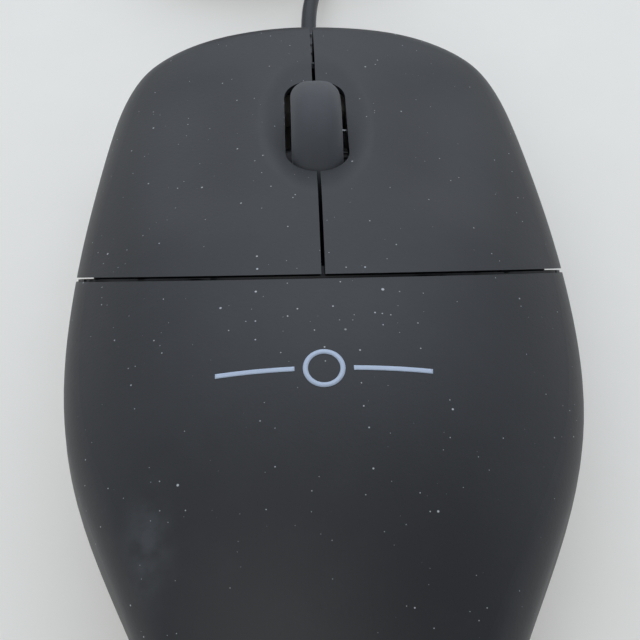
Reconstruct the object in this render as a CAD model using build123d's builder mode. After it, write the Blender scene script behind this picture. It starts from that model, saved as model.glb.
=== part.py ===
"""Small wired optical mouse with two buttons, a clickable scroll wheel and a USB cable.

Millimetres. X points to the right-hand side, Y towards the cable end, Z up.  The origin is on
the table, under the middle of the mouse.
"""
import os
from math import cos, pi, radians, sin, sqrt, tan

from build123d import *

# ---------------------------------------------------------------- driving dimensions
LENGTH = 109.0              # overall, without the cable
WIDTH = 61.0                # at the widest level of the side walls
HEIGHT = 34.0               # table to the crown of the palm cover
WALL = 1.8                  # moulded wall of every casing
RIM_RADIUS = 7.0            # rounding where the top runs into the side walls
CROWN_RADIUS = 60.0         # side-to-side curve of the top
SHOULDER_DROP = 4.5         # extra fall of the top at the widest point
FOOT_HEIGHT = 0.8           # gap between the table and the underside
PARTING_Z = 10.5            # joint line of base and covers

SEAM_Y = 0.0                # seam of buttons and palm cover, on the crown
SEAM_LEAN = 36.0            # degrees that the seam runs forward on its way down
SEAM_GAP = 0.5
SLIT_GAP = 0.45             # between the two buttons
BUTTON_LIFT = 1.3           # gap under the button skirts, which their travel uses
HINGE_Y = -5.0
HINGE_DEPTH = 9.4           # crown to hinge pin
HINGE_PIN_R = 1.0
LUG_R = 2.6                 # rounded end of every hinge lug and arm
LUG_WIDTH = 3.0
ARM_X = (9.5, 19.5)         # inner and outer arm of a button
LUG_X = (0.0, 14.5)         # lugs of the palm cover, the outer pair on both sides

WHEEL_Y = 26.2
WHEEL_R = 11.5
WHEEL_WIDTH = 6.3
WHEEL_PROUD = 2.8           # wheel above the crown line
TYRE_DEPTH = 2.2
AXLE_R = 1.5
SLOT_WIDTH = 7.8            # opening for the wheel
SLOT_LENGTH = 19.8
SLOT_Y = 28.3
WELL_GAP = 0.8              # tyre to the rounded underside of the slot's ends
DETENTS = 24

PIVOT_AHEAD = 15.0          # wheel axle to the carrier's pivot
PIVOT_ABOVE_BOARD = 6.3
PIVOT_R = 1.2
CARRIER_GAP = 1.0           # tyre to carrier arm
CARRIER_ARM = 1.4
MIDDLE_SWITCH_BEHIND = 13.4 # wheel axle to the middle switch

BOARD_Z = 6.6               # underside of the circuit board
BOARD_THICK = 1.6
BOARD_WIDTH = 42.0
BOARD_REAR_Y = -24.0
BOARD_FRONT_Y = 44.0
POST_R = 2.6
POSTS = ((17.5, 24.0), (15.0, -18.0))
SCREW_R = 1.0
SCREW_BITE = 3.0            # board screws in their posts

SWITCH_X = 14.5
SWITCH_Y = 36.5             # at the plunger
SWITCH_SIZE = (5.8, 12.8, 6.5)
SWITCH_OFFSET = 2.0         # plunger to the middle of the switch
TACT_SIZE = (6.0, 6.0, 3.3)
TACT_PROUD = 0.8
PLUNGER_DEPTH = 1.6         # plunger inside its switch
SENSOR_SIZE = (9.9, 12.6, 2.4)
TYRE_SHOULDER = 1.6
TRUNNION_REACH = 2.0
PLUNGER_SIZE = (2.8, 1.3)
PLUNGER_PROUD = 0.75
ACTUATOR_GAP = 0.1          # button post to plunger
SENSOR_Y = -4.0
WINDOW_SIZE = (9.0, 14.0)   # opening in the base under the sensor
CASE_SCREW_Y = -38.0

RELIEF_Z = 6.0              # cable exit above the table
RELIEF_REACH = 8.0          # sleeve outside the front wall
CABLE_R = 1.1
COIL_CENTRE = (-10.5, 98.0)
COIL_COLUMNS = 4
COIL_LAYERS = 4
COIL_MIDDLE_R = 13.2

RUNNING = 0.06              # radial clearance of a shaft in its hole
SNUG = 0.1                  # clearance of a piece dropped into its recess
NEAR = 0.3                  # gap between pieces that pass without touching

# ---------------------------------------------------------------- values that follow
FLOOR_Z = FOOT_HEIGHT + WALL
BOARD_TOP = BOARD_Z + BOARD_THICK
LEAN = radians(SEAM_LEAN)
HALF_LENGTH = LENGTH / 2
HALF_WIDTH = WIDTH / 2
CABLE_D = 2 * CABLE_R

# plan of the right half, nose to tail, in shares of half the width and half the length
PLAN = (
    (0.0, 1.0), (0.295, 0.996), (0.56, 0.972), (0.757, 0.908), (0.853, 0.798), (0.893, 0.66),
    (0.925, 0.486), (0.962, 0.294), (0.992, 0.092), (0.998, -0.092), (0.958, -0.284),
    (0.853, -0.468), (0.735, -0.624), (0.605, -0.78), (0.39, -0.925), (0.0, -1.0),
)
# crown line, nose to tail, in shares of half the length and of the height
CROWN = (
    (1.0, 0.545), (0.734, 0.712), (0.459, 0.853), (0.183, 0.956), (-0.092, 1.0),
    (-0.33, 0.976), (-0.587, 0.853), (-0.826, 0.647), (-1.0, 0.44),
)
# side wall from the underside up: level as a share of the height, and how far it is drawn in
WALL_RINGS = ((0.18, 1.6), (0.35, 0.2), (0.53, 0.0), (1.06, 2.5))
UNDERSIDE_TUCK = 4.5

plan_points = [Vector(x * HALF_WIDTH, y * HALF_LENGTH) for x, y in PLAN]
plan_points += [Vector(-p.X, p.Y) for p in plan_points[-2:0:-1]]
plan_line = Edge.make_spline(plan_points, periodic=True)
crown_line = Edge.make_spline([Vector(0, y * HALF_LENGTH, z * HEIGHT) for y, z in CROWN])


def crown_z(y):
    """Height of the crown line at y."""
    low, high = 0.0, 1.0
    for _ in range(40):
        middle = (low + high) / 2
        if (crown_line @ middle).Y > y:
            low = middle
        else:
            high = middle
    return (crown_line @ low).Z


def side_fall(x):
    """How far the top lies below the crown line at x."""
    return x * x / (2 * CROWN_RADIUS) + SHOULDER_DROP * (x / HALF_WIDTH) ** 4


def seam_y(z, ahead=0.0):
    """Seam plane's Y at height z, moved forward by ahead."""
    return SEAM_Y + (crown_z(SEAM_Y) - z) * tan(LEAN) + ahead


def plan_inset(inset):
    """Points of the plan outline drawn in by inset."""
    points = []
    for point in plan_points:
        along = plan_line % plan_line.param_at_point(point)
        points.append((point.X + along.Y * inset, point.Y - along.X * inset))
    return points


def top_face(drop):
    """Curved top of the housing, lowered by drop and carried on past the outline."""
    steps = 8
    overhang = 8.0
    sides = [share * HALF_WIDTH for share in (0, 0.2, 0.43, 0.66, 0.85, 1.02, 1.18)]
    columns = [-x for x in sides[:0:-1]] + sides
    spine = [(crown_line @ 0) - (crown_line % 0) * overhang]
    spine += [crown_line @ (step / steps) for step in range(steps + 1)]
    spine += [(crown_line @ 1) + (crown_line % 1) * overhang]
    grid = [[Vector(x, p.Y, p.Z - side_fall(x) - drop) for p in spine] for x in columns]
    return Face.make_surface_from_array_of_points(grid, tol=0.01, min_deg=3, max_deg=3)


def enclosure(inset):
    """Closed body of the housing with its walls and top drawn in by inset."""
    rings = [(FOOT_HEIGHT, UNDERSIDE_TUCK)] + [(z * HEIGHT, tuck) for z, tuck in WALL_RINGS]
    with BuildPart() as body:
        for z, tuck in rings:
            with BuildSketch(Plane.XY.offset(z)):
                with BuildLine():
                    Spline(*plan_inset(tuck + inset), periodic=True)
                make_face()
        loft()
        extrude(top_face(inset), amount=2 * HEIGHT, dir=(0, 0, 1), mode=Mode.SUBTRACT)
        top_edges = body.faces().sort_by(Axis.Z)[-1].edges()
        fillet(top_edges, radius=RIM_RADIUS - inset)
    return body.part


outer_body = enclosure(0)
inner_body = enclosure(WALL)
middle_body = enclosure(WALL / 2)
with BuildPart() as skin:
    add(outer_body)
    add(inner_body, mode=Mode.SUBTRACT)

seam_normal = (0, cos(LEAN), sin(LEAN))
seam_plane = Plane(origin=(0, SEAM_Y, crown_z(SEAM_Y)), x_dir=(1, 0, 0), z_dir=seam_normal)

HINGE_Z = crown_z(HINGE_Y) - HINGE_DEPTH
AXLE_Z = crown_z(WHEEL_Y) + WHEEL_PROUD - WHEEL_R
PIVOT_Y = WHEEL_Y + PIVOT_AHEAD
PIVOT_Z = BOARD_TOP + PIVOT_ABOVE_BOARD
SWITCH_TOP = BOARD_TOP + SWITCH_SIZE[2]
MIDDLE_SWITCH_Y = WHEEL_Y - MIDDLE_SWITCH_BEHIND
FRONT_WALL_Y = HALF_LENGTH - 1.6
ARM_INSIDE_X = WHEEL_WIDTH / 2 + CARRIER_GAP
ARM_OUTSIDE_X = ARM_INSIDE_X + CARRIER_ARM
BEAM_R = 6.4                # wheel axle to the light beam of the encoder

# ---------------------------------------------------------------- casings
RECESS = 0.3                # feet and label sit this deep in the underside
LIP_THICK = 0.9             # tongue of the base inside the covers
LIP_GAP = 0.45
LIP_TUCK = 0.3              # draw of the wall at the parting line
LIP_RISE = 1.6
LIP_ROOT = 1.8              # how far the tongue runs down the wall
FEET = {
    "foot_front_left": (-12.0, 0.76, 0.0),
    "foot_front_right": (12.0, 0.76, 0.0),
    "foot_rear_left": (-9.0, -0.66, -25.0),
    "foot_rear_right": (9.0, -0.66, 25.0),
}
FOOT_SIZE = (11.0, 4.6)
LABEL_SIZE = (26.0, 13.0)
LABEL_Y = 19.0
LABEL_THICK = 0.2
BOSS_R = 3.4
CASE_HOLE_R = 1.3
CASE_HEAD_R = 2.3
CASE_HEAD_THICK = 1.5
CASE_HEAD_DEPTH = 2.6
CASE_BITE = 7.0             # pilot hole in the palm cover's boss
ARM_REACH = 21.0            # hinge pin to the front of a button arm
ACTUATOR_R = 1.5
PIN_END = 0.4               # hinge pin past the outer arms

pieces = []

with BuildPart() as hollow:
    with BuildSketch(Plane.XY.offset(FLOOR_Z)):
        Rectangle(2 * WIDTH, 2 * LENGTH)
    extrude(amount=PARTING_Z)
    add(inner_body, mode=Mode.INTERSECT)

with BuildPart() as base_shell:
    with BuildSketch(Plane.XY):
        Rectangle(2 * WIDTH, 2 * LENGTH)
    extrude(amount=PARTING_Z)
    add(outer_body, mode=Mode.INTERSECT)
    add(hollow.part, mode=Mode.SUBTRACT)
    lip_inset = LIP_TUCK + WALL + LIP_GAP
    with BuildSketch(Plane.XY.offset(PARTING_Z - LIP_ROOT)):
        with BuildLine():
            Spline(*plan_inset(lip_inset), periodic=True)
        make_face()
        with BuildLine():
            Spline(*plan_inset(lip_inset + LIP_THICK), periodic=True)
        make_face(mode=Mode.SUBTRACT)
    extrude(amount=LIP_ROOT + LIP_RISE)
    with BuildSketch(Plane.XY.offset(FLOOR_Z - WALL / 2)):
        for x, y in POSTS:
            with Locations((x, y), (-x, y)):
                Circle(POST_R)
    extrude(amount=BOARD_Z - FLOOR_Z + WALL / 2)
    with BuildSketch(Plane.XY.offset(FLOOR_Z - WALL / 2)):
        with Locations((0, CASE_SCREW_Y)):
            Circle(BOSS_R)
    extrude(amount=PARTING_Z - FLOOR_Z + WALL / 2)
    with BuildSketch(Plane.XY.offset(BOARD_Z)):
        for x, y in POSTS:
            with Locations((x, y), (-x, y)):
                Circle(SCREW_R)
    extrude(amount=-SCREW_BITE - SNUG, mode=Mode.SUBTRACT)
    with BuildSketch(Plane.XY.offset(PARTING_Z)):
        with Locations((0, CASE_SCREW_Y)):
            Circle(CASE_HOLE_R)
    extrude(amount=-PARTING_Z, mode=Mode.SUBTRACT)
    with BuildSketch(Plane.XY.offset(FOOT_HEIGHT)):
        with Locations((0, CASE_SCREW_Y)):
            Circle(CASE_HEAD_R + SNUG)
    extrude(amount=CASE_HEAD_DEPTH, mode=Mode.SUBTRACT)
    with BuildSketch(Plane.XY.offset(FOOT_HEIGHT)) as recesses:
        for x, share, turn in FEET.values():
            with Locations((x, share * HALF_LENGTH)):
                SlotOverall(FOOT_SIZE[0] + 2 * SNUG, FOOT_SIZE[1] + 2 * SNUG, rotation=turn)
        with Locations((0, LABEL_Y)):
            RectangleRounded(LABEL_SIZE[0] + 2 * SNUG, LABEL_SIZE[1] + 2 * SNUG, 1.5)
    extrude(amount=RECESS, mode=Mode.SUBTRACT)
    with BuildSketch(Plane.XY.offset(FLOOR_Z)):
        with Locations((0, SENSOR_Y)):
            RectangleRounded(*WINDOW_SIZE, 1.5)
    extrude(amount=-2 * WALL, taper=-20, mode=Mode.SUBTRACT)
    with BuildSketch(Plane.XZ.offset(-FRONT_WALL_Y - 2)):
        with Locations((0, RELIEF_Z)):
            Circle(2.3 + SNUG)
    extrude(amount=2 * WALL + 4, mode=Mode.SUBTRACT)
base_shell.part.label = "base_shell"


def seam_parts(keep, shift):
    """Skin above the parting line on one side of the seam, which is moved by shift."""
    cut = seam_plane.offset(shift)
    with BuildPart() as piece:
        add(skin.part)
        split(bisect_by=Plane.XY.offset(PARTING_Z), keep=Keep.TOP)
        split(bisect_by=cut, keep=keep)
    return piece.part


def hinge_lug(x, reach):
    """Plate round the hinge pin at x, with a bar that runs forward by reach and up."""
    with BuildPart() as lug:
        with BuildSketch(Plane.YZ.offset(x - LUG_WIDTH / 2)):
            with Locations((HINGE_Y, HINGE_Z)):
                Circle(LUG_R)
            if reach:
                with BuildLine():
                    Polyline(
                        (HINGE_Y, HINGE_Z - LUG_R),
                        (HINGE_Y + reach, HINGE_Z - LUG_R),
                        (HINGE_Y + reach, 2 * HEIGHT),
                        (seam_y(2 * HEIGHT, 2.0), 2 * HEIGHT),
                        (seam_y(HINGE_Z + LUG_R / 2, 2.0), HINGE_Z + LUG_R / 2),
                        (HINGE_Y, HINGE_Z + LUG_R / 2),
                        close=True,
                    )
                make_face()
            else:
                with Locations((HINGE_Y, HINGE_Z + HEIGHT)):
                    Rectangle(2 * LUG_R, 2 * HEIGHT)
        extrude(amount=LUG_WIDTH)
        add(middle_body, mode=Mode.INTERSECT)
    return lug.part


TONGUE_GAP = 0.35           # under the skin of the buttons
TONGUE_THICK = 1.0
TONGUE_AHEAD = 1.15         # past the seam
TONGUE_ROOT = 3.0           # behind the seam, where it grows out of the cover's wall
tongue_inside = enclosure(WALL + TONGUE_GAP + TONGUE_THICK)


def tongue_band(outside, back, ahead):
    """Band between outside and the tongue's inner face, from back to ahead of the seam."""
    with BuildPart() as band:
        add(outside)
        add(tongue_inside, mode=Mode.SUBTRACT)
        split(bisect_by=seam_plane.offset(back), keep=Keep.TOP)
        split(bisect_by=seam_plane.offset(ahead), keep=Keep.BOTTOM)
        split(bisect_by=Plane.XY.offset(PARTING_Z + LIP_RISE + NEAR), keep=Keep.TOP)
    return band.part


with BuildPart() as seam_tongue:
    add(tongue_band(middle_body, -TONGUE_ROOT, -SEAM_GAP / 2))
    add(tongue_band(enclosure(WALL + TONGUE_GAP), -TONGUE_ROOT / 2, TONGUE_AHEAD))
    with BuildSketch(Plane.XY.offset(HINGE_Z + LUG_R / 2 + 2 * NEAR)):
        for x in ARM_X:
            with Locations((x, HINGE_Y), (-x, HINGE_Y)):
                Rectangle(LUG_WIDTH + 2 * NEAR, LENGTH)
    extrude(amount=-HEIGHT, mode=Mode.SUBTRACT)

with BuildPart() as palm_cover:
    add(seam_parts(Keep.BOTTOM, -SEAM_GAP / 2))
    add(seam_tongue.part)
    for lug_x in (LUG_X[0], LUG_X[1], -LUG_X[1]):
        add(hinge_lug(lug_x, 0))
    with BuildPart(mode=Mode.PRIVATE) as boss:
        with BuildSketch(Plane.XY.offset(PARTING_Z)):
            with Locations((0, CASE_SCREW_Y)):
                Circle(BOSS_R)
        extrude(amount=HEIGHT)
        add(middle_body, mode=Mode.INTERSECT)
    add(boss.part)
    with BuildSketch(Plane.XY.offset(PARTING_Z)):
        with Locations((0, CASE_SCREW_Y)):
            Circle(SCREW_R)
    extrude(amount=CASE_BITE, mode=Mode.SUBTRACT)
    with BuildSketch(Plane.YZ.offset(-LUG_X[1] - LUG_WIDTH)):
        with Locations((HINGE_Y, HINGE_Z)):
            Circle(HINGE_PIN_R)
    extrude(amount=2 * (LUG_X[1] + LUG_WIDTH), mode=Mode.SUBTRACT)
palm_cover.part.label = "palm_cover"

button_skin = seam_parts(Keep.TOP, SEAM_GAP / 2)
with BuildPart() as wheel_well:
    with BuildSketch(Plane.YZ.offset(-SLOT_WIDTH / 2)):
        with Locations((WHEEL_Y, AXLE_Z)):
            Circle(WHEEL_R + WELL_GAP)
    extrude(amount=SLOT_WIDTH)
    add(middle_body, mode=Mode.INTERSECT)


def actuator_post(side):
    """Post under a button that comes down on its switch."""
    with BuildPart() as post:
        with BuildSketch(Plane.XY.offset(SWITCH_TOP + PLUNGER_PROUD + ACTUATOR_GAP)):
            with Locations((side * SWITCH_X, SWITCH_Y)):
                Circle(ACTUATOR_R)
        extrude(amount=HEIGHT)
        add(middle_body, mode=Mode.INTERSECT)
    return post.part


for side, name in ((-1, "left_button"), (1, "right_button")):
    own_side = Keep.TOP if side > 0 else Keep.BOTTOM
    with BuildPart() as button:
        add(button_skin)
        split(bisect_by=Plane.YZ.offset(side * SLIT_GAP / 2), keep=own_side)
        split(bisect_by=Plane.XY.offset(PARTING_Z + BUTTON_LIFT), keep=Keep.TOP)
        with BuildSketch(Plane.XY):
            with Locations((0, SLOT_Y)):
                SlotOverall(SLOT_LENGTH, SLOT_WIDTH, rotation=90)
        extrude(amount=2 * HEIGHT, mode=Mode.SUBTRACT)
        add(wheel_well.part, mode=Mode.SUBTRACT)
        for arm_x in ARM_X:
            add(hinge_lug(side * arm_x, ARM_REACH))
        add(actuator_post(side))
        with BuildSketch(Plane.YZ.offset(-ARM_X[1] - LUG_WIDTH)):
            with Locations((HINGE_Y, HINGE_Z)):
                Circle(HINGE_PIN_R + RUNNING)
        extrude(amount=2 * (ARM_X[1] + LUG_WIDTH), mode=Mode.SUBTRACT)
    button.part.label = name
    pieces.append(button.part)

with BuildPart() as hinge_pin:
    with BuildSketch(Plane.YZ.offset(-ARM_X[1] - LUG_WIDTH / 2 - PIN_END)):
        with Locations((HINGE_Y, HINGE_Z)):
            Circle(HINGE_PIN_R)
    extrude(amount=2 * ARM_X[1] + LUG_WIDTH + 2 * PIN_END)
hinge_pin.part.label = "button_hinge_pin"

for name, (x, share, turn) in FEET.items():
    with BuildPart() as foot:
        with BuildSketch(Plane.XY):
            with Locations((x, share * HALF_LENGTH)):
                SlotOverall(*FOOT_SIZE, rotation=turn)
        extrude(amount=FOOT_HEIGHT + RECESS)
        chamfer(foot.edges().group_by(Axis.Z)[0], length=0.2)
    foot.part.label = name
    pieces.append(foot.part)

with BuildPart() as label:
    with BuildSketch(Plane.XY.offset(FOOT_HEIGHT + RECESS - LABEL_THICK)):
        with Locations((0, LABEL_Y)):
            RectangleRounded(*LABEL_SIZE, 1.5)
    extrude(amount=LABEL_THICK)
label.part.label = "underside_label"

with BuildPart() as case_screw:
    with BuildSketch(Plane.XY.offset(FOOT_HEIGHT + CASE_HEAD_DEPTH)):
        with Locations((0, CASE_SCREW_Y)):
            Circle(CASE_HEAD_R)
    extrude(amount=-CASE_HEAD_THICK)
    fillet(case_screw.edges().group_by(Axis.Z)[0], radius=0.4)
    with BuildSketch(Plane.XY.offset(FOOT_HEIGHT + CASE_HEAD_DEPTH)):
        with Locations((0, CASE_SCREW_Y)):
            Circle(SCREW_R)
    extrude(amount=PARTING_Z + CASE_BITE - FOOT_HEIGHT - CASE_HEAD_DEPTH - 1.0)
    with BuildSketch(Plane.XY.offset(FOOT_HEIGHT + CASE_HEAD_DEPTH - CASE_HEAD_THICK)):
        with Locations((0, CASE_SCREW_Y)):
            Rectangle(2.8, 0.7)
            Rectangle(0.7, 2.8)
    extrude(amount=0.9, mode=Mode.SUBTRACT)
case_screw.part.label = "case_screw"

# ---------------------------------------------------------------- scroll wheel and its carrier
HUB_R = WHEEL_R - TYRE_DEPTH
HUB_WIDTH = WHEEL_WIDTH - 0.7
HUB_RIM = 1.5
WEB_THICK = 2.4
AXLE_BOSS_R = 2.9
axle_centre = (WHEEL_Y, AXLE_Z)

with BuildPart() as wheel_hub:
    with BuildSketch(Plane.YZ.offset(-HUB_WIDTH / 2)):
        with Locations(axle_centre):
            Circle(HUB_R)
            Circle(HUB_R - HUB_RIM, mode=Mode.SUBTRACT)
    extrude(amount=HUB_WIDTH)
    with BuildSketch(Plane.YZ.offset(-WEB_THICK / 2)):
        with Locations(axle_centre):
            Circle(HUB_R - HUB_RIM / 2)
    extrude(amount=WEB_THICK)
    with BuildSketch(Plane.YZ.offset(-ARM_INSIDE_X + SNUG)):
        with Locations(axle_centre):
            Circle(AXLE_BOSS_R)
    extrude(amount=2 * (ARM_INSIDE_X - SNUG))
    with BuildSketch(Plane.YZ.offset(-ARM_OUTSIDE_X - 0.2)):
        with Locations(axle_centre):
            Circle(AXLE_R)
    extrude(amount=2 * (ARM_OUTSIDE_X + 0.2))
    with BuildSketch(Plane.YZ.offset(-WEB_THICK)):
        with Locations(axle_centre):
            with PolarLocations(BEAM_R, DETENTS):
                SlotOverall(2.0, 0.8)
    extrude(amount=2 * WEB_THICK, mode=Mode.SUBTRACT)
    with BuildSketch(Plane.YZ.offset(HUB_WIDTH / 2)):
        with Locations(axle_centre):
            with PolarLocations(AXLE_BOSS_R, DETENTS, start_angle=180 / DETENTS):
                Circle(0.22)
    extrude(amount=ARM_INSIDE_X, mode=Mode.SUBTRACT)
wheel_hub.part.label = "wheel_hub"

with BuildPart() as wheel_tyre:
    with BuildSketch(Plane.XY.offset(AXLE_Z)) as tread:
        with Locations((0, WHEEL_Y + WHEEL_R - TYRE_DEPTH / 2)):
            Rectangle(WHEEL_WIDTH, TYRE_DEPTH)
        fillet(tread.vertices().group_by(Axis.Y)[-1], radius=TYRE_SHOULDER)
    revolve(axis=Axis((0, WHEEL_Y, AXLE_Z), (1, 0, 0)))
wheel_tyre.part.label = "wheel_tyre"

bar_y = (MIDDLE_SWITCH_Y - 1.0, MIDDLE_SWITCH_Y + 1.0)
foot_z = BOARD_TOP + TACT_SIZE[2] + TACT_PROUD + ACTUATOR_GAP
with BuildPart() as wheel_carrier:
    for side in (-1, 1):
        start = side * ARM_INSIDE_X if side > 0 else -ARM_OUTSIDE_X
        with BuildSketch(Plane.YZ.offset(start)):
            with BuildLine():
                Polyline(
                    (bar_y[0], foot_z + 0.9),
                    (bar_y[0], foot_z + 4.2),
                    (WHEEL_Y - 3.4, AXLE_Z + 2.8),
                    (WHEEL_Y + 3.4, AXLE_Z + 2.8),
                    (PIVOT_Y + 2.2, PIVOT_Z + 2.0),
                    (PIVOT_Y + 2.2, PIVOT_Z - 2.0),
                    (PIVOT_Y - 2.4, PIVOT_Z - 2.0),
                    (WHEEL_Y + 3.4, AXLE_Z - 3.6),
                    (WHEEL_Y - 3.4, AXLE_Z - 3.6),
                    close=True,
                )
            make_face()
            with Locations(axle_centre):
                Circle(AXLE_R + RUNNING, mode=Mode.SUBTRACT)
        extrude(amount=CARRIER_ARM)
    with BuildSketch(Plane.YZ.offset(-ARM_INSIDE_X)):
        with Locations((MIDDLE_SWITCH_Y, foot_z + 2.2)):
            Rectangle(2.0, 2.6)
        with Locations((PIVOT_Y, PIVOT_Z)):
            Rectangle(3.0, 3.0)
    extrude(amount=2 * ARM_INSIDE_X)
    with BuildSketch(Plane.XY.offset(foot_z)):
        with Locations((0, MIDDLE_SWITCH_Y)):
            Rectangle(2.4, 2.0)
    extrude(amount=1.5)
    with BuildSketch(Plane.YZ.offset(-ARM_OUTSIDE_X - TRUNNION_REACH)):
        with Locations((PIVOT_Y, PIVOT_Z)):
            Circle(PIVOT_R)
    extrude(amount=2 * (ARM_OUTSIDE_X + TRUNNION_REACH))
wheel_carrier.part.label = "wheel_carrier"

EAR_INSIDE_X = ARM_OUTSIDE_X + NEAR
EAR_THICK = 1.8
with BuildPart() as carrier_bracket:
    for start in (EAR_INSIDE_X, -EAR_INSIDE_X - EAR_THICK):
        with BuildSketch(Plane.YZ.offset(start)) as ear:
            with Locations((PIVOT_Y, (BOARD_TOP + PIVOT_Z + 2.6) / 2)):
                Rectangle(5.2, PIVOT_Z + 2.6 - BOARD_TOP)
            fillet(ear.vertices().group_by(Axis.Z)[-1], radius=2.0)
            with Locations((PIVOT_Y, PIVOT_Z)):
                Circle(PIVOT_R + RUNNING, mode=Mode.SUBTRACT)
        extrude(amount=EAR_THICK)
    with BuildSketch(Plane.XY.offset(BOARD_TOP)):
        with Locations((0, PIVOT_Y)):
            Rectangle(2 * (EAR_INSIDE_X + EAR_THICK), 5.2)
    extrude(amount=1.2)
carrier_bracket.part.label = "carrier_bracket"

with BuildPart() as detent_spring:
    with BuildSketch(Plane.YZ.offset(WHEEL_WIDTH / 2 + 0.2)):
        with BuildLine():
            spring_line = Polyline(
                (PIVOT_Y - 1.7, PIVOT_Z + 1.0),
                (WHEEL_Y + AXLE_BOSS_R + 1.4, AXLE_Z - 1.6),
                (WHEEL_Y + AXLE_BOSS_R + SNUG + 0.2, AXLE_Z),
                (WHEEL_Y + AXLE_BOSS_R + 1.6, AXLE_Z + 2.6),
            )
            offset(spring_line, amount=0.15, side=Side.BOTH)
        make_face()
    extrude(amount=CARRIER_GAP - 0.3)
detent_spring.part.label = "detent_spring"

# ---------------------------------------------------------------- circuit board and its parts
wheel_chord = sqrt(max(WHEEL_R**2 - (AXLE_Z - BOARD_TOP) ** 2, 0.0))
BOARD_SLOT = (2 * (wheel_chord + 3.0) + WHEEL_WIDTH, WHEEL_WIDTH + 2 * CARRIER_GAP)
with BuildPart() as main_board:
    with BuildSketch(Plane.XY.offset(BOARD_Z)) as board:
        with Locations((0, (BOARD_REAR_Y + BOARD_FRONT_Y) / 2)):
            RectangleRounded(BOARD_WIDTH, BOARD_FRONT_Y - BOARD_REAR_Y, 3.0)
        with Locations((0, WHEEL_Y)):
            SlotOverall(*BOARD_SLOT, rotation=90, mode=Mode.SUBTRACT)
        with Locations((0, SENSOR_Y)):
            Rectangle(SENSOR_SIZE[0] - 2.0, SENSOR_SIZE[1] - 2.0, mode=Mode.SUBTRACT)
        for x, y in POSTS:
            with Locations((x, y), (-x, y)):
                Circle(SCREW_R + SNUG, mode=Mode.SUBTRACT)
    extrude(amount=BOARD_THICK)
main_board.part.label = "main_board"

with BuildPart() as board_screws:
    for x, y in POSTS:
        with BuildSketch(Plane.XY.offset(BOARD_TOP)):
            with Locations((x, y), (-x, y)):
                Circle(1.9)
        extrude(amount=1.3)
        with BuildSketch(Plane.XY.offset(BOARD_TOP)):
            with Locations((x, y), (-x, y)):
                Circle(SCREW_R)
        extrude(amount=-BOARD_THICK - SCREW_BITE)
    fillet(board_screws.edges().group_by(Axis.Z)[-1], radius=0.5)
    with BuildSketch(Plane.XY.offset(BOARD_TOP + 1.3)):
        for x, y in POSTS:
            with Locations((x, y), (-x, y)):
                Rectangle(2.2, 0.6)
                Rectangle(0.6, 2.2)
    extrude(amount=-0.8, mode=Mode.SUBTRACT)
board_screws.part.label = "board_screws"


def switch(name, x, y, size, plunger, proud):
    """Board-mounted switch: its case with two legs, and its plunger."""
    top = BOARD_TOP + size[2]
    with BuildPart() as case:
        with BuildSketch(Plane.XY.offset(BOARD_TOP)):
            with Locations((x, y)):
                Rectangle(size[0], size[1])
        extrude(amount=size[2])
        chamfer(case.edges().group_by(Axis.Z)[-1], length=0.3)
        with BuildSketch(Plane.XY.offset(top)):
            with Locations((x, plunger[2])):
                Rectangle(plunger[0] + 2 * SNUG, plunger[1] + 2 * SNUG)
        extrude(amount=-PLUNGER_DEPTH - 1.0, mode=Mode.SUBTRACT)
    case.part.label = name
    with BuildPart() as button:
        with BuildSketch(Plane.XY.offset(top - PLUNGER_DEPTH)):
            with Locations((x, plunger[2])):
                Rectangle(plunger[0], plunger[1])
        extrude(amount=PLUNGER_DEPTH + proud)
        fillet(button.edges().group_by(Axis.Z)[-1], radius=0.25)
    button.part.label = name + "_plunger"
    pieces.extend((case.part, button.part))


for side, name in ((-1, "left_switch"), (1, "right_switch")):
    switch(
        name, side * SWITCH_X, SWITCH_Y - SWITCH_OFFSET, SWITCH_SIZE,
        (*PLUNGER_SIZE, SWITCH_Y), PLUNGER_PROUD,
    )
switch(
    "middle_switch", 0, MIDDLE_SWITCH_Y, TACT_SIZE, (3.0, 3.0, MIDDLE_SWITCH_Y), TACT_PROUD,
)

with BuildPart() as sensor_ic:
    with BuildSketch(Plane.XY.offset(BOARD_TOP)):
        with Locations((0, SENSOR_Y)):
            Rectangle(SENSOR_SIZE[0], SENSOR_SIZE[1])
    extrude(amount=SENSOR_SIZE[2])
    chamfer(sensor_ic.edges().group_by(Axis.Z)[-1], length=0.3)
sensor_ic.part.label = "sensor_chip"

LENS_PLATE = (17.0, 24.0, 1.4)
with BuildPart() as sensor_lens:
    with BuildSketch(Plane.XY.offset(BOARD_Z)):
        with Locations((0, SENSOR_Y)):
            RectangleRounded(LENS_PLATE[0], LENS_PLATE[1], 1.0)
    extrude(amount=-LENS_PLATE[2])
    with BuildSketch(Plane.XY.offset(BOARD_Z - LENS_PLATE[2])):
        with Locations((0, SENSOR_Y + 2.5)):
            Circle(2.6)
        with Locations((0, SENSOR_Y - 4.0)):
            Rectangle(4.6, 6.0)
    extrude(amount=-(BOARD_Z - LENS_PLATE[2] - FLOOR_Z - NEAR), taper=8)
    with BuildSketch(Plane.XY.offset(BOARD_Z)):
        with Locations((0, SENSOR_Y + 2.5)):
            Circle(2.2)
    extrude(amount=BOARD_THICK - NEAR)
sensor_lens.part.label = "sensor_lens"

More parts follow.
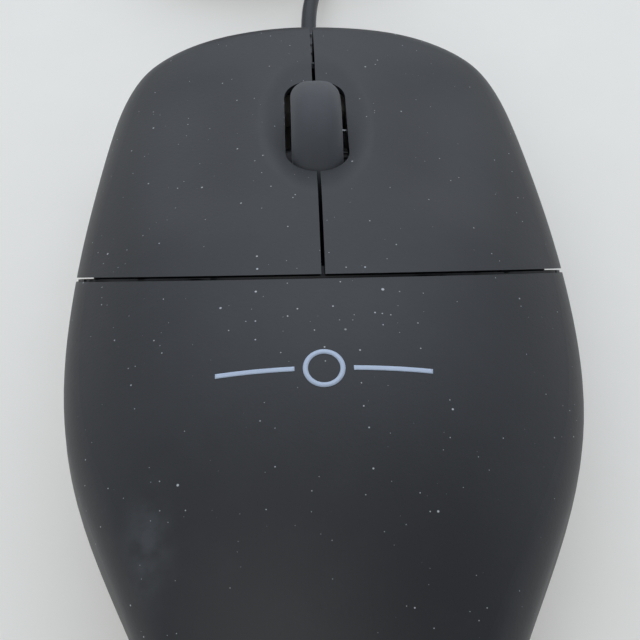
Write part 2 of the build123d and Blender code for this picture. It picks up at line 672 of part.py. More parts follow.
LED_Z = BOARD_TOP + 3.6
LED_Y = (BOARD_REAR_Y + 1.5, BOARD_REAR_Y + 9.5)
with BuildPart() as led:
    with BuildSketch(Plane.XZ.offset(-LED_Y[0])):
        with Locations((0, LED_Z)):
            Circle(2.9)
    extrude(amount=-1.0)
    with BuildSketch(Plane.XZ.offset(-LED_Y[0] - 1.0)):
        with Locations((0, LED_Z)):
            Circle(2.5)
    extrude(amount=-(LED_Y[1] - LED_Y[0] - 1.0))
    fillet(led.edges().group_by(Axis.Y)[-1], radius=2.2)
led.part.label = "illumination_led"

with BuildPart() as led_clip:
    with BuildSketch(Plane.XZ.offset(-LED_Y[0] - 1.2)) as clip:
        with Locations((0, (BOARD_TOP + LED_Z + 3.8) / 2)):
            Rectangle(8.4, LED_Z + 3.8 - BOARD_TOP)
        fillet(clip.vertices().group_by(Axis.Z)[-1], radius=1.2)
        with Locations((0, LED_Z)):
            Circle(2.5 + RUNNING, mode=Mode.SUBTRACT)
    extrude(amount=-5.0)
led_clip.part.label = "led_clip"

for side, name in ((-1, "wheel_light_emitter"), (1, "wheel_light_detector")):
    with BuildPart() as encoder:
        with BuildSketch(Plane.XY.offset(BOARD_TOP)):
            with Locations((side * (ARM_OUTSIDE_X + 2.2), WHEEL_Y)):
                Rectangle(2.4, 4.4)
        extrude(amount=AXLE_Z - BEAM_R + 1.9 - BOARD_TOP)
        chamfer(encoder.edges().group_by(Axis.Z)[-1], length=0.4)
        with BuildSketch(Plane.YZ.offset(side * (ARM_OUTSIDE_X + 1.0))):
            with Locations((WHEEL_Y, AXLE_Z - BEAM_R)):
                Circle(0.75)
        extrude(amount=-side * 0.5)
    encoder.part.label = name
    pieces.append(encoder.part)

CAPACITORS = ((13.0, 4.0, 2.5, 7.0), (13.5, -7.0, 2.0, 5.5))
with BuildPart() as capacitors:
    for x, y, r, tall in CAPACITORS:
        with BuildSketch(Plane.XY.offset(BOARD_TOP)):
            with Locations((x, y)):
                Circle(r)
        extrude(amount=tall)
    fillet(capacitors.edges().group_by(Axis.Z)[-1], radius=0.4)
capacitors.part.label = "capacitors"

CHIPS = ((-12.5, -5.0), (-12.5, -8.0), (-9.5, 4.0), (9.0, 11.0), (9.0, 14.0), (-8.0, -17.0))
with BuildPart() as small_components:
    with BuildSketch(Plane.XY.offset(BOARD_TOP)):
        with Locations(*CHIPS):
            Rectangle(2.0, 1.25)
    extrude(amount=0.6)
small_components.part.label = "small_components"

HEADER_X = -14.5
HEADER_Y = (8.0, 13.5)
PLUG_TOP = BOARD_TOP + 5.2
with BuildPart() as board_header:
    with BuildSketch(Plane.XY.offset(BOARD_TOP)):
        with Locations((HEADER_X, (HEADER_Y[0] + HEADER_Y[1]) / 2)):
            Rectangle(9.6, HEADER_Y[1] - HEADER_Y[0])
            Rectangle(8.0, HEADER_Y[1] - HEADER_Y[0] - 1.4, mode=Mode.SUBTRACT)
    extrude(amount=4.2)
    with BuildSketch(Plane.XY.offset(BOARD_TOP)):
        with Locations((HEADER_X, (HEADER_Y[0] + HEADER_Y[1]) / 2)):
            Rectangle(9.6, HEADER_Y[1] - HEADER_Y[0])
    extrude(amount=0.8)
board_header.part.label = "board_header"

with BuildPart() as wire_connector:
    with BuildSketch(Plane.XY.offset(BOARD_TOP + 0.8 + SNUG)):
        with Locations((HEADER_X, (HEADER_Y[0] + HEADER_Y[1]) / 2)):
            Rectangle(8.0 - 2 * SNUG, HEADER_Y[1] - HEADER_Y[0] - 1.4 - 2 * SNUG)
    extrude(amount=PLUG_TOP - BOARD_TOP - 0.8 - SNUG)
wire_connector.part.label = "wire_connector"

# ---------------------------------------------------------------- cable, coil and plug
RELIEF_INSIDE_Y = FRONT_WALL_Y - WALL - 4.2
EXIT_Y = HALF_LENGTH + RELIEF_REACH
with BuildPart() as strain_relief:
    with BuildSketch(Plane.XY.offset(RELIEF_Z)) as sleeve:
        with BuildLine():
            Polyline(
                (0, RELIEF_INSIDE_Y),
                (3.1, RELIEF_INSIDE_Y),
                (3.1, RELIEF_INSIDE_Y + 1.6),
                (2.3, RELIEF_INSIDE_Y + 1.6),
                (2.3, FRONT_WALL_Y + 1.4),
                (2.9, FRONT_WALL_Y + 1.4),
                (2.9, FRONT_WALL_Y + 2.8),
                (1.45, EXIT_Y),
                (0, EXIT_Y),
                close=True,
            )
        make_face()
    revolve(axis=Axis((0, 0, RELIEF_Z), (0, 1, 0)))
strain_relief.part.label = "strain_relief"

WIRE_R = 0.45
WIRE_STEP = 1.2
WIRE_X = -SWITCH_X - SWITCH_SIZE[0] / 2 - 2.2
with BuildPart() as wires:
    for index in range(4):
        start_z = RELIEF_Z + (index - 1.5) * WIRE_STEP
        level = BOARD_TOP + 2.0 + index * WIRE_STEP
        drop_x = HEADER_X + (index - 1.5) * 1.8
        with BuildLine() as route:
            FilletPolyline(
                (0, RELIEF_INSIDE_Y, start_z),
                (0, RELIEF_INSIDE_Y - 1.7, start_z),
                (WIRE_X, RELIEF_INSIDE_Y - 1.7, level),
                (WIRE_X, HEADER_Y[1] + 4.0 + 1.5 * index, level),
                (drop_x, (HEADER_Y[0] + HEADER_Y[1]) / 2, PLUG_TOP + 3.0),
                (drop_x, (HEADER_Y[0] + HEADER_Y[1]) / 2, PLUG_TOP),
                radius=0.9,
            )
        with BuildSketch(Plane(origin=route.line @ 0, z_dir=route.line % 0)):
            Circle(WIRE_R)
        sweep(path=route.line)
wires.part.label = "wires"

coil_outer_r = COIL_MIDDLE_R + COIL_COLUMNS * CABLE_D / 2
coil_inner_r = COIL_MIDDLE_R - COIL_COLUMNS * CABLE_D / 2
coil_height = COIL_LAYERS * CABLE_D
lying_z = CABLE_R + 0.05
ENTRY_POINTS = (
    (0, EXIT_Y, RELIEF_Z), (0, EXIT_Y + 6.0, RELIEF_Z), (1.9, 76.8, 3.4), (4.4, 84.6, 1.5),
    (5.9, 91.5, lying_z),
)
PLUG_X = 20.0
PLUG_Z = 3.9
PLUG_REAR_Y = 99.2          # where the cable enters the plug's sleeve
TAIL_POINTS = (
    (-4.6, 81.5, 7.7), (2.0, 81.5, 7.3), (9.7, 82.0, 5.7), (16.2, 85.7, 4.4),
    (PLUG_X, 92.2, PLUG_Z), (PLUG_X, PLUG_REAR_Y, PLUG_Z),
)


def cable_tube(name, points):
    """Round cable along the points, with the largest arcs that its runs allow."""
    corners = [Vector(*p) for p in points]
    radii = []
    for before, corner, after in zip(corners, corners[1:], corners[2:]):
        turn = radians((corner - before).get_angle(after - corner))
        run = min((corner - before).length, (after - corner).length)
        radii.append(0.45 * run / tan(turn / 2))
    with BuildPart() as tube:
        with BuildLine() as route:
            FilletPolyline(*points, radius=radii)
        with BuildSketch(Plane(origin=route.line @ 0, z_dir=route.line % 0)):
            Circle(CABLE_R)
        sweep(path=route.line)
    length = sum(edge.length for edge in route.edges())
    share = tube.part.volume / (pi * CABLE_R**2 * length)
    print(name, "radii", [round(r, 1) for r in radii], "length", round(length, 1))
    print(name, "volume over section times length", round(share, 4))
    tube.part.label = name
    pieces.append(tube.part)
    return length


free_length = cable_tube("cable", ENTRY_POINTS) + cable_tube("cable_tail", TAIL_POINTS)
turn_radii = [coil_inner_r + (column + 0.5) * CABLE_D for column in range(COIL_COLUMNS)]
coiled_length = COIL_LAYERS * sum(2 * pi * r for r in turn_radii)
print("cable length", round(free_length + coiled_length))

with BuildPart() as cable_coil:
    with BuildSketch(Plane.XY):
        with Locations(COIL_CENTRE):
            Circle(coil_outer_r)
            Circle(coil_inner_r, mode=Mode.SUBTRACT)
    extrude(amount=coil_height)
    fillet(cable_coil.edges(), radius=0.8)
cable_coil.part.label = "cable_coil"

GRIP_SIZE = (24.0, 15.5, 7.8)       # moulded grip of the plug
SLEEVE_LENGTH = 6.0
SHELL_SIZE = (18.75, 12.0, 4.5)     # standard plug of type A
SHELL_THICK = 0.3
grip_rear_y = PLUG_REAR_Y + SLEEVE_LENGTH
grip_front_y = grip_rear_y + GRIP_SIZE[0]
with BuildPart() as plug_grip:
    with BuildSketch(Plane.XZ.offset(-grip_rear_y)) as grip:
        with Locations((PLUG_X, PLUG_Z)):
            RectangleRounded(GRIP_SIZE[1], GRIP_SIZE[2], 2.4)
    extrude(amount=-GRIP_SIZE[0])
    fillet(plug_grip.edges().group_by(Axis.Y)[0], radius=2.0)
    fillet(plug_grip.edges().group_by(Axis.Y)[-1], radius=0.5)
    with BuildSketch(Plane.XZ.offset(-PLUG_REAR_Y)):
        with Locations((PLUG_X, PLUG_Z)):
            Circle(1.5)
    with BuildSketch(Plane.XZ.offset(-grip_rear_y - 0.5)):
        with Locations((PLUG_X, PLUG_Z)):
            Circle(2.5)
    loft()
plug_grip.part.label = "plug_grip"

shell_front_y = grip_front_y + SHELL_SIZE[0]
with BuildPart() as plug_shell:
    with BuildSketch(Plane.XZ.offset(-grip_front_y)) as shell:
        with Locations((PLUG_X, PLUG_Z)):
            RectangleRounded(SHELL_SIZE[1], SHELL_SIZE[2], 0.5)
            RectangleRounded(
                SHELL_SIZE[1] - 2 * SHELL_THICK, SHELL_SIZE[2] - 2 * SHELL_THICK, 0.3,
                mode=Mode.SUBTRACT,
            )
    extrude(amount=-SHELL_SIZE[0])
    with BuildSketch(Plane.XY.offset(PLUG_Z)):
        with Locations((PLUG_X - 2.7, shell_front_y - 6.5), (PLUG_X + 2.7, shell_front_y - 6.5)):
            Rectangle(2.0, 2.3)
    extrude(amount=SHELL_SIZE[2], both=True, mode=Mode.SUBTRACT)
plug_shell.part.label = "plug_shell"

INSERT_THICK = 1.9
insert_top = PLUG_Z + SHELL_SIZE[2] / 2 - SHELL_THICK - SNUG
with BuildPart() as plug_insert:
    with BuildSketch(Plane.XZ.offset(-grip_front_y)):
        with Locations((PLUG_X, insert_top - INSERT_THICK / 2)):
            Rectangle(SHELL_SIZE[1] - 2 * SHELL_THICK - 2 * SNUG, INSERT_THICK)
    extrude(amount=-SHELL_SIZE[0] + 0.6)
plug_insert.part.label = "plug_insert"

CONTACTS = ((-3.5, 7.4), (-1.0, 6.4), (1.0, 6.4), (3.5, 7.4))
with BuildPart() as plug_contacts:
    for across, reach in CONTACTS:
        with BuildSketch(Plane.XY.offset(insert_top - INSERT_THICK)):
            with Locations((PLUG_X + across, shell_front_y - 9.0 + reach / 2)):
                Rectangle(1.0, reach)
        extrude(amount=-0.25)
plug_contacts.part.label = "plug_contacts"

pieces += [
    base_shell.part, palm_cover.part, hinge_pin.part, label.part, case_screw.part,
    wheel_hub.part, wheel_tyre.part, wheel_carrier.part, carrier_bracket.part,
    detent_spring.part, main_board.part, board_screws.part, sensor_ic.part, sensor_lens.part,
    led.part, led_clip.part, capacitors.part, small_components.part, board_header.part,
    wire_connector.part, wires.part, strain_relief.part, cable_coil.part, plug_grip.part,
    plug_shell.part, plug_insert.part, plug_contacts.part,
]
os.makedirs("parts", exist_ok=True)
for piece in pieces:
    export_step(piece, f"parts/{piece.label}.step")
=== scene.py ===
"""Looks of a small wired optical mouse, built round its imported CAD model.

The frame is the model's own: metres, X to the right-hand side, Y towards the cable end, Z up,
with the origin on the table under the middle of the mouse.  Sizes that end in _mm are
millimetres, because that is how such a thing is drawn.
"""

import logging
import math
from dataclasses import dataclass
from enum import Enum
from typing import Any, Optional

import bmesh
import bpy
from mathutils import Matrix, Vector
from mathutils.bvhtree import BVHTree
from mathutils.interpolate import poly_3d_calc

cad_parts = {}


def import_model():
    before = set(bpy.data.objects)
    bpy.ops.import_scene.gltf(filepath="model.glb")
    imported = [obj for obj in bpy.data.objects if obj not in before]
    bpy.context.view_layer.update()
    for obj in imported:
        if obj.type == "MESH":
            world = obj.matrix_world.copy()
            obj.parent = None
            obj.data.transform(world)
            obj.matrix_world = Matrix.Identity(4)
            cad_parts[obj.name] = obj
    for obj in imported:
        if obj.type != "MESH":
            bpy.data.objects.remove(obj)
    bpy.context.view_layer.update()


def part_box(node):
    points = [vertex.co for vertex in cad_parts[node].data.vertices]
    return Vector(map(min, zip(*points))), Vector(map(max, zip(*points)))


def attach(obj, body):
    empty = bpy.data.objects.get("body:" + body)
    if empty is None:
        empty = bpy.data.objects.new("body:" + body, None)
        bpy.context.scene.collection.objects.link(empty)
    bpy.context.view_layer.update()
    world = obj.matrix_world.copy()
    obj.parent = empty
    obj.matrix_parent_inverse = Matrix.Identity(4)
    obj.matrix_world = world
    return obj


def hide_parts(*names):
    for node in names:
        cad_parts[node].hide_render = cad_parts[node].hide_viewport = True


MM = 0.001
LOG = logging.getLogger("mouse")


# ---------------------------------------------------------------- small helpers
def linear(hex_colour: str) -> tuple[float, float, float, float]:
    """Turn an sRGB hex colour into linear light.

    Args:
        hex_colour: Colour such as "#2b2d30".

    Returns:
        Red, green, blue and an alpha of 1.
    """
    shares = [int(hex_colour[i : i + 2], 16) / 255 for i in (1, 3, 5)]
    light = [s / 12.92 if s <= 0.04045 else ((s + 0.055) / 1.055) ** 2.4 for s in shares]
    return light[0], light[1], light[2], 1.0


def add_node(
    tree: bpy.types.NodeTree,
    kind: str,
    settings: Optional[dict[str, Any]] = None,
    inputs: Optional[dict[Any, Any]] = None,
) -> bpy.types.Node:
    """Add a shader node with its settings and links.

    Args:
        tree: Node tree that gets the node.
        kind: Blender's name of the node's type.
        settings: Properties of the node by name.
        inputs: Value or output socket for each input, by the input's name or number.

    Returns:
        The new node.
    """
    node = tree.nodes.new(kind)
    for name, value in (settings or {}).items():
        setattr(node, name, value)
    for name, value in (inputs or {}).items():
        if isinstance(value, bpy.types.NodeSocket):
            tree.links.new(value, node.inputs[name])
        else:
            node.inputs[name].default_value = value
    return node


def new_tree(name: str) -> tuple[bpy.types.Material, bpy.types.NodeTree, bpy.types.NodeSocket]:
    """Start a material.

    Args:
        name: The material's name.

    Returns:
        The material, its empty node tree and the Object coordinates.
    """
    material = bpy.data.materials.new(name)
    material.use_nodes = True
    material.node_tree.nodes.clear()
    place = add_node(material.node_tree, "ShaderNodeTexCoord").outputs["Object"]
    return material, material.node_tree, place


def calc(tree: bpy.types.NodeTree, operation: str, *values: Any, **settings: Any) -> Any:
    """Add a maths node on some values or sockets and give its result."""
    node = add_node(
        tree, "ShaderNodeMath", {"operation": operation, **settings}, dict(enumerate(values))
    )
    return node.outputs["Value"]


def ranged(tree: bpy.types.NodeTree, value: Any, **limits: Any) -> Any:
    """Add a node that maps a value from one range to another and give its result."""
    names = {name.replace("_", " ").title(): limit for name, limit in limits.items()}
    node = add_node(tree, "ShaderNodeMapRange", inputs={"Value": value, **names})
    return node.outputs["Result"]


def noise(tree: bpy.types.NodeTree, place: Any, size_mm: float, **more: float) -> Any:
    """Add a noise with patches of a size in millimetres and give its strength."""
    names = {name.title(): value for name, value in more.items()}
    node = add_node(
        tree,
        "ShaderNodeTexNoise",
        inputs={"Vector": place, "Scale": 1 / (size_mm * MM), **names},
    )
    return node.outputs["Fac"]


def bumped(tree: bpy.types.NodeTree, height: Any, depth_mm: float) -> Any:
    """Add a bump of a depth in millimetres and give its normal."""
    node = add_node(
        tree, "ShaderNodeBump", inputs={"Height": height, "Distance": depth_mm * MM}
    )
    return node.outputs["Normal"]


def scaled(tree: bpy.types.NodeTree, hex_colour: str, share: Any) -> Any:
    """Add a colour times a share and give the result."""
    node = add_node(
        tree,
        "ShaderNodeVectorMath",
        {"operation": "SCALE"},
        {0: linear(hex_colour)[:3], "Scale": share},
    )
    return node.outputs["Vector"]


def mixed(tree: bpy.types.NodeTree, share: Any, first: Any, second: Any) -> Any:
    """Add a mix of two colours and give the result."""
    node = add_node(
        tree, "ShaderNodeMix", {"data_type": "RGBA"}, {0: share, 6: first, 7: second}
    )
    return node.outputs[2]


def close_tree(tree: bpy.types.NodeTree, inputs: dict[str, Any]) -> bpy.types.Node:
    """Finish a material with its surface shader.

    Args:
        tree: The material's node tree.
        inputs: Values and sockets of the surface shader.

    Returns:
        The surface shader.
    """
    surface = add_node(tree, "ShaderNodeBsdfPrincipled", inputs=inputs)
    add_node(tree, "ShaderNodeOutputMaterial", inputs={"Surface": surface.outputs["BSDF"]})
    return surface


def dress(piece: bpy.types.Object, material: bpy.types.Material) -> None:
    """Give a piece one material all over."""
    piece.data.materials.clear()
    piece.data.materials.append(material)


def as_piece(name: str, shape: bmesh.types.BMesh, material: bpy.types.Material) -> bpy.types.Object:
    """Make a finished mesh into a piece whose object sits at the origin.

    Args:
        name: The piece's name.
        shape: The mesh, in place, which is freed here.
        material: Its finish.

    Returns:
        The new object.
    """
    mesh = bpy.data.meshes.new(name)
    shape.to_mesh(mesh)
    shape.free()
    piece = bpy.data.objects.new(name, mesh)
    bpy.context.scene.collection.objects.link(piece)
    dress(piece, material)
    for polygon in mesh.polygons:
        polygon.use_smooth = True
    return piece


def crisp(piece: bpy.types.Object, angle: float = 35.0) -> None:
    """Shade a piece smooth, with edges sharper than angle degrees left crisp."""
    piece.data.set_sharp_from_angle(angle=math.radians(angle))


def round_off(
    shape: bmesh.types.BMesh, geom: list, radius: float, steps: int, affect: str = "EDGES"
) -> None:
    """Round some edges, or the corners of an outline, with a number of steps."""
    bmesh.ops.bevel(
        shape,
        geom=geom,
        offset=radius,
        segments=steps,
        profile=0.5,
        affect=affect,
        material=-1,
    )


def turn_round(
    shape: bmesh.types.BMesh, edges: list, centre: Vector, axis: tuple, steps: int, weld: float
) -> None:
    """Turn an outline round an axis, weld what meets and point the faces outwards."""
    bmesh.ops.spin(
        shape,
        geom=edges,
        cent=centre,
        axis=axis,
        angle=2 * math.pi,
        steps=steps,
        use_merge=True,
    )
    bmesh.ops.remove_doubles(shape, verts=shape.verts, dist=weld)
    bmesh.ops.recalc_face_normals(shape, faces=shape.faces)


def middle_of(node: str) -> Vector:
    """Middle of a CAD node's box."""
    low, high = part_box(node)
    return (low + high) / 2


# ---------------------------------------------------------------- finishes
class Texture(Enum):
    """How the surface of the mould was finished: grain width and depth in millimetres."""

    POLISHED = (0.6, 0.002)
    SATIN = (0.3, 0.006)
    SPARK_ERODED = (0.34, 0.014)


@dataclass(frozen=True)
class Moulded:
    """Injection-moulded ABS: a little gloss over a fine, even texture.

    Attributes:
        name: Name of the finish.
        colour: Hex colour of the plastic.
        texture: Finish of the mould.
        roughness: Roughness of the surface.
        mottle: How far the colour varies, as a share.
    """

    name: str
    colour: str
    texture: Texture = Texture.SATIN
    roughness: float = 0.45
    mottle: float = 0.08

    CLOUD_MM = 9.0    # size of the patches of slightly other colour
    ROUGH_STEP = 0.06

    def build(self) -> bpy.types.Material:
        """Build the material."""
        material, tree, place = new_tree(self.name)
        grain_mm, depth_mm = self.texture.value
        grain = noise(tree, place, grain_mm, detail=2.0)
        cloud = noise(tree, place, self.CLOUD_MM)
        low, high = 1 - self.mottle, 1 + self.mottle
        tint = ranged(tree, cloud, from_min=0.3, from_max=0.7, to_min=low, to_max=high)
        dull, dullest = self.roughness - self.ROUGH_STEP, self.roughness + self.ROUGH_STEP
        close_tree(
            tree,
            {
                "Base Color": scaled(tree, self.colour, tint),
                "Roughness": ranged(tree, grain, to_min=dull, to_max=dullest),
                "Normal": bumped(tree, grain, depth_mm),
                "IOR": 1.53,
            },
        )
        return material


@dataclass(frozen=True)
class HandledPlastic:
    """Charcoal ABS with a spark-eroded grain, dusty and polished where a hand has rested.

    The grain scatters light, so the black looks grey and soft; the dust shows as pale specks;
    and the patch polished by the hand has lost its grain, so it shines. That patch is also
    painted paler, a painted sheen standing in for the shine on it.

    Attributes:
        name: Name of the finish.
        colour: Hex colour of the plastic.
        dust: Hex colour of the dust.
        roughness: Roughness of the untouched grain.
        wear_and_sheen_at: Middle of the polished patch, which is also painted paler as a sheen.
        wear_and_sheen_size: Half-axes of that patch.
        dusty_at: Middle of the dustiest region, by the seam.
    """

    name: str
    colour: str
    dust: str
    roughness: float
    wear_and_sheen_at: Vector
    wear_and_sheen_size: Vector
    dusty_at: Vector

    GRAIN_MM = 0.42     # true grain is about 0.1 mm, drawn coarser so that it shows
    DEPTH_MM = 0.016
    SPECKS_MM = ((0.95, 0.1, 0.4), (2.3, 0.17, 0.05))    # spacing, radius, share left out
    DUSTIER = 0.6       # how much wider the specks are in the dustiest region
    SPECK_EDGE = 2.2    # over 1 gives a speck a crisp edge
    PALEST = 0.8        # most that a speck covers the plastic
    DUSTY_MM = (16, 14, 9)
    RUBBED_GLOSS = 0.62

    def _nearness(
        self, tree: bpy.types.NodeTree, place: bpy.types.NodeSocket, middle: Vector, size: Vector
    ) -> bpy.types.NodeSocket:
        """Add a soft mask that is 1 at the middle of an ellipsoid and 0 outside it.

        Args:
            tree: Node tree that gets the nodes.
            place: Object coordinates.
            middle: Middle of the ellipsoid.
            size: Its half-axes.

        Returns:
            The mask.
        """
        mapped = add_node(
            tree,
            "ShaderNodeMapping",
            {"vector_type": "TEXTURE"},
            {"Vector": place, "Location": middle, "Scale": size},
        )
        ball = add_node(
            tree,
            "ShaderNodeTexGradient",
            {"gradient_type": "SPHERICAL"},
            {"Vector": mapped.outputs["Vector"]},
        )
        return add_node(
            tree,
            "ShaderNodeMapRange",
            {"interpolation_type": "SMOOTHSTEP"},
            {"Value": ball.outputs["Fac"]},
        ).outputs["Result"]

    def _specks(
        self, tree: bpy.types.NodeTree, place: bpy.types.NodeSocket, dusty: bpy.types.NodeSocket
    ) -> bpy.types.NodeSocket:
        """Add the mask of the dust specks.

        Args:
            tree: Node tree that gets the nodes.
            place: Object coordinates.
            dusty: Mask of the dustiest region.

        Returns:
            The mask.
        """
        found: Optional[bpy.types.NodeSocket] = None
        for spacing_mm, radius_mm, left_out in self.SPECKS_MM:
            cells = add_node(
                tree,
                "ShaderNodeTexVoronoi",
                inputs={"Vector": place, "Scale": 1 / (spacing_mm * MM), "Randomness": 1.0},
            )
            kept = add_node(
                tree, "ShaderNodeSeparateColor", inputs={"Color": cells.outputs["Color"]}
            ).outputs["Red"]
            radius = radius_mm / spacing_mm
            reach = ranged(tree, kept, from_min=left_out, to_max=radius)
            more = calc(tree, "MULTIPLY_ADD", dusty, self.DUSTIER * radius, reach)
            distance = cells.outputs["Distance"]
            speck = ranged(
                tree, distance, from_min=more, from_max=0.0, to_max=self.SPECK_EDGE
            )
            found = speck if found is None else calc(tree, "MAXIMUM", found, speck)
        return calc(tree, "MINIMUM", found, self.PALEST)

    def build(self) -> bpy.types.Material:
        """Build the material."""
        material, tree, place = new_tree(self.name)
        grain = noise(tree, place, self.GRAIN_MM, detail=3.0)
        # mask of the hand-polished patch: real wear that makes it glossier, and a painted sheen
        # below
        wear_and_sheen_mask = self._nearness(tree, place, self.wear_and_sheen_at, self.wear_and_sheen_size)
        streaks = ranged(
            tree, noise(tree, place, 3.5, detail=4.0), from_min=0.35, from_max=0.6
        )
        wear_and_sheen = calc(tree, "MULTIPLY", wear_and_sheen_mask, streaks, use_clamp=True)
        dusty = self._nearness(tree, place, self.dusty_at, Vector(self.DUSTY_MM) * MM)
        specks = self._specks(tree, place, dusty)
        smear = noise(tree, place, 6, detail=5.0, roughness=0.65)
        haze = ranged(tree, smear, from_min=0.45, from_max=0.8, to_max=0.008)
        film = calc(tree, "MULTIPLY_ADD", dusty, 0.012, haze)
        # painted sheen: the polished patch is painted 0.06 of the way towards the pale dust colour
        pale = calc(tree, "MULTIPLY_ADD", wear_and_sheen, 0.06, film)
        dust_and_sheen = calc(tree, "MAXIMUM", specks, pale)
        gloss = self.roughness * self.RUBBED_GLOSS
        close_tree(
            tree,
            {
                "Base Color": mixed(tree, dust_and_sheen, linear(self.colour), linear(self.dust)),
                "Roughness": ranged(tree, wear_and_sheen, to_min=self.roughness, to_max=gloss),
                "Normal": bumped(tree, grain, self.DEPTH_MM),
                "IOR": 1.53,
            },
        )
        return material


@dataclass(frozen=True)
class Rubber:
    """Soft elastomer: dull all over, with a faint bloom and no sharp highlight.

    Attributes:
        name: Name of the finish.
        colour: Hex colour of the rubber.
        roughness: Roughness of the surface.
        grain_mm: Width of its grain.
    """

    name: str
    colour: str
    roughness: float = 0.7
    grain_mm: float = 0.25

    BLOOM_MM = 2.5    # size of the patches of bloom
    GRAIN_DEPTH_MM = 0.01

    def build(self) -> bpy.types.Material:
        """Build the material."""
        material, tree, place = new_tree(self.name)
        grain = noise(tree, place, self.grain_mm, detail=4.0)
        bloom = noise(tree, place, self.BLOOM_MM, detail=3.0)
        tint = ranged(tree, bloom, to_min=0.8, to_max=1.25)
        close_tree(
            tree,
            {
                "Base Color": scaled(tree, self.colour, tint),
                "Roughness": self.roughness,
                "Normal": bumped(tree, grain, self.GRAIN_DEPTH_MM),
                "IOR": 1.52,
                "Sheen Weight": 0.12,
                "Sheen Roughness": 0.5,
            },
        )
        return material


@dataclass(frozen=True)
class Metal:
    """Plated or drawn metal, with fine marks along its length.

    Attributes:
        name: Name of the finish.
        colour: Hex colour of the metal.
        roughness: Roughness between the marks.
        mark_mm: Width of the drawing marks.
    """

    name: str
    colour: str
    roughness: float = 0.25
    mark_mm: float = 0.12

    MARK_DEPTH_MM = 0.002

    def build(self) -> bpy.types.Material:
        """Build the material."""
        material, tree, place = new_tree(self.name)
        drawn = add_node(
            tree,
            "ShaderNodeMapping",
            inputs={"Vector": place, "Scale": Vector((1.0, 0.06, 1.0))},
        )
        marks = noise(tree, drawn.outputs["Vector"], self.mark_mm, detail=3.0)
        bright, dull = self.roughness * 0.6, self.roughness * 1.4
        close_tree(
            tree,
            {
                "Base Color": linear(self.colour),
                "Metallic": 1.0,
                "Roughness": ranged(tree, marks, to_min=bright, to_max=dull),
                "Normal": bumped(tree, marks, self.MARK_DEPTH_MM),
            },
        )
        return material


@dataclass(frozen=True)
class ClearPlastic:
    """Clear polycarbonate, polished, as in a lens or a lamp's body.

    Attributes:
        name: Name of the finish.
        colour: Hex tint.
    """

    name: str
    colour: str

    RIPPLE_MM = 3.0
    RIPPLE_DEPTH_MM = 0.01

    def build(self) -> bpy.types.Material:
        """Build the material."""
        material, tree, place = new_tree(self.name)
        ripple = noise(tree, place, self.RIPPLE_MM)
        close_tree(
            tree,
            {
                "Base Color": linear(self.colour),
                "Roughness": 0.08,
                "Normal": bumped(tree, ripple, self.RIPPLE_DEPTH_MM),
                "IOR": 1.585,
                "Transmission Weight": 0.85,
            },
        )
        return material


@dataclass(frozen=True)
class SolderMask:
    """Circuit board: glossy green lacquer over copper tracks that show as paler lines.

    Attributes:
        name: Name of the finish.
        colour: Hex colour of the lacquer over bare laminate.
        track: Hex colour of the lacquer over copper.
        pitch_mm: Spacing of the tracks.
    """

    name: str
    colour: str
    track: str
    pitch_mm: float = 1.27

    COPPER_MM = 0.03    # thickness of the copper under the lacquer

    def build(self) -> bpy.types.Material:
        """Build the material."""
        material, tree, place = new_tree(self.name)
        cells = add_node(
            tree,
            "ShaderNodeTexVoronoi",
            {"distance": "CHEBYCHEV", "feature": "F1"},
            {"Vector": place, "Scale": 1 / (4 * self.pitch_mm * MM), "Randomness": 0.6},
        )
        lines = calc(tree, "PINGPONG", cells.outputs["Distance"], 0.125)
        track = ranged(tree, lines, from_min=0.055, from_max=0.07)
        close_tree(
            tree,
            {
                "Base Color": mixed(tree, track, linear(self.colour), linear(self.track)),
                "Roughness": 0.25,
                "Normal": bumped(tree, track, self.COPPER_MM),
                "IOR": 1.5,
            },
        )
        return material


@dataclass(frozen=True)
class WireColours:
    """Thin PVC sleeves, one colour to each of the four wires, told apart by their height.

    Attributes:
        name: Name of the finish.
        colours: Hex colours from the lowest wire up.
        lowest: Height of the lowest wire's bottom.
        step: Height from one wire to the next.
    """

    name: str
    colours: tuple[str, ...]
    lowest: float
    step: float

    def build(self) -> bpy.types.Material:
        """Build the material."""
        material, tree, place = new_tree(self.name)
        height = add_node(tree, "ShaderNodeSeparateXYZ", inputs={"Vector": place}).outputs["Z"]
        colour: Any = linear(self.colours[0])
        for index, next_colour in enumerate(self.colours[1:], 1):
            above = calc(tree, "GREATER_THAN", height, self.lowest + index * self.step)
            colour = mixed(tree, above, colour, linear(next_colour))
        close_tree(tree, {"Base Color": colour, "Roughness": 0.35, "IOR": 1.52})
        return material


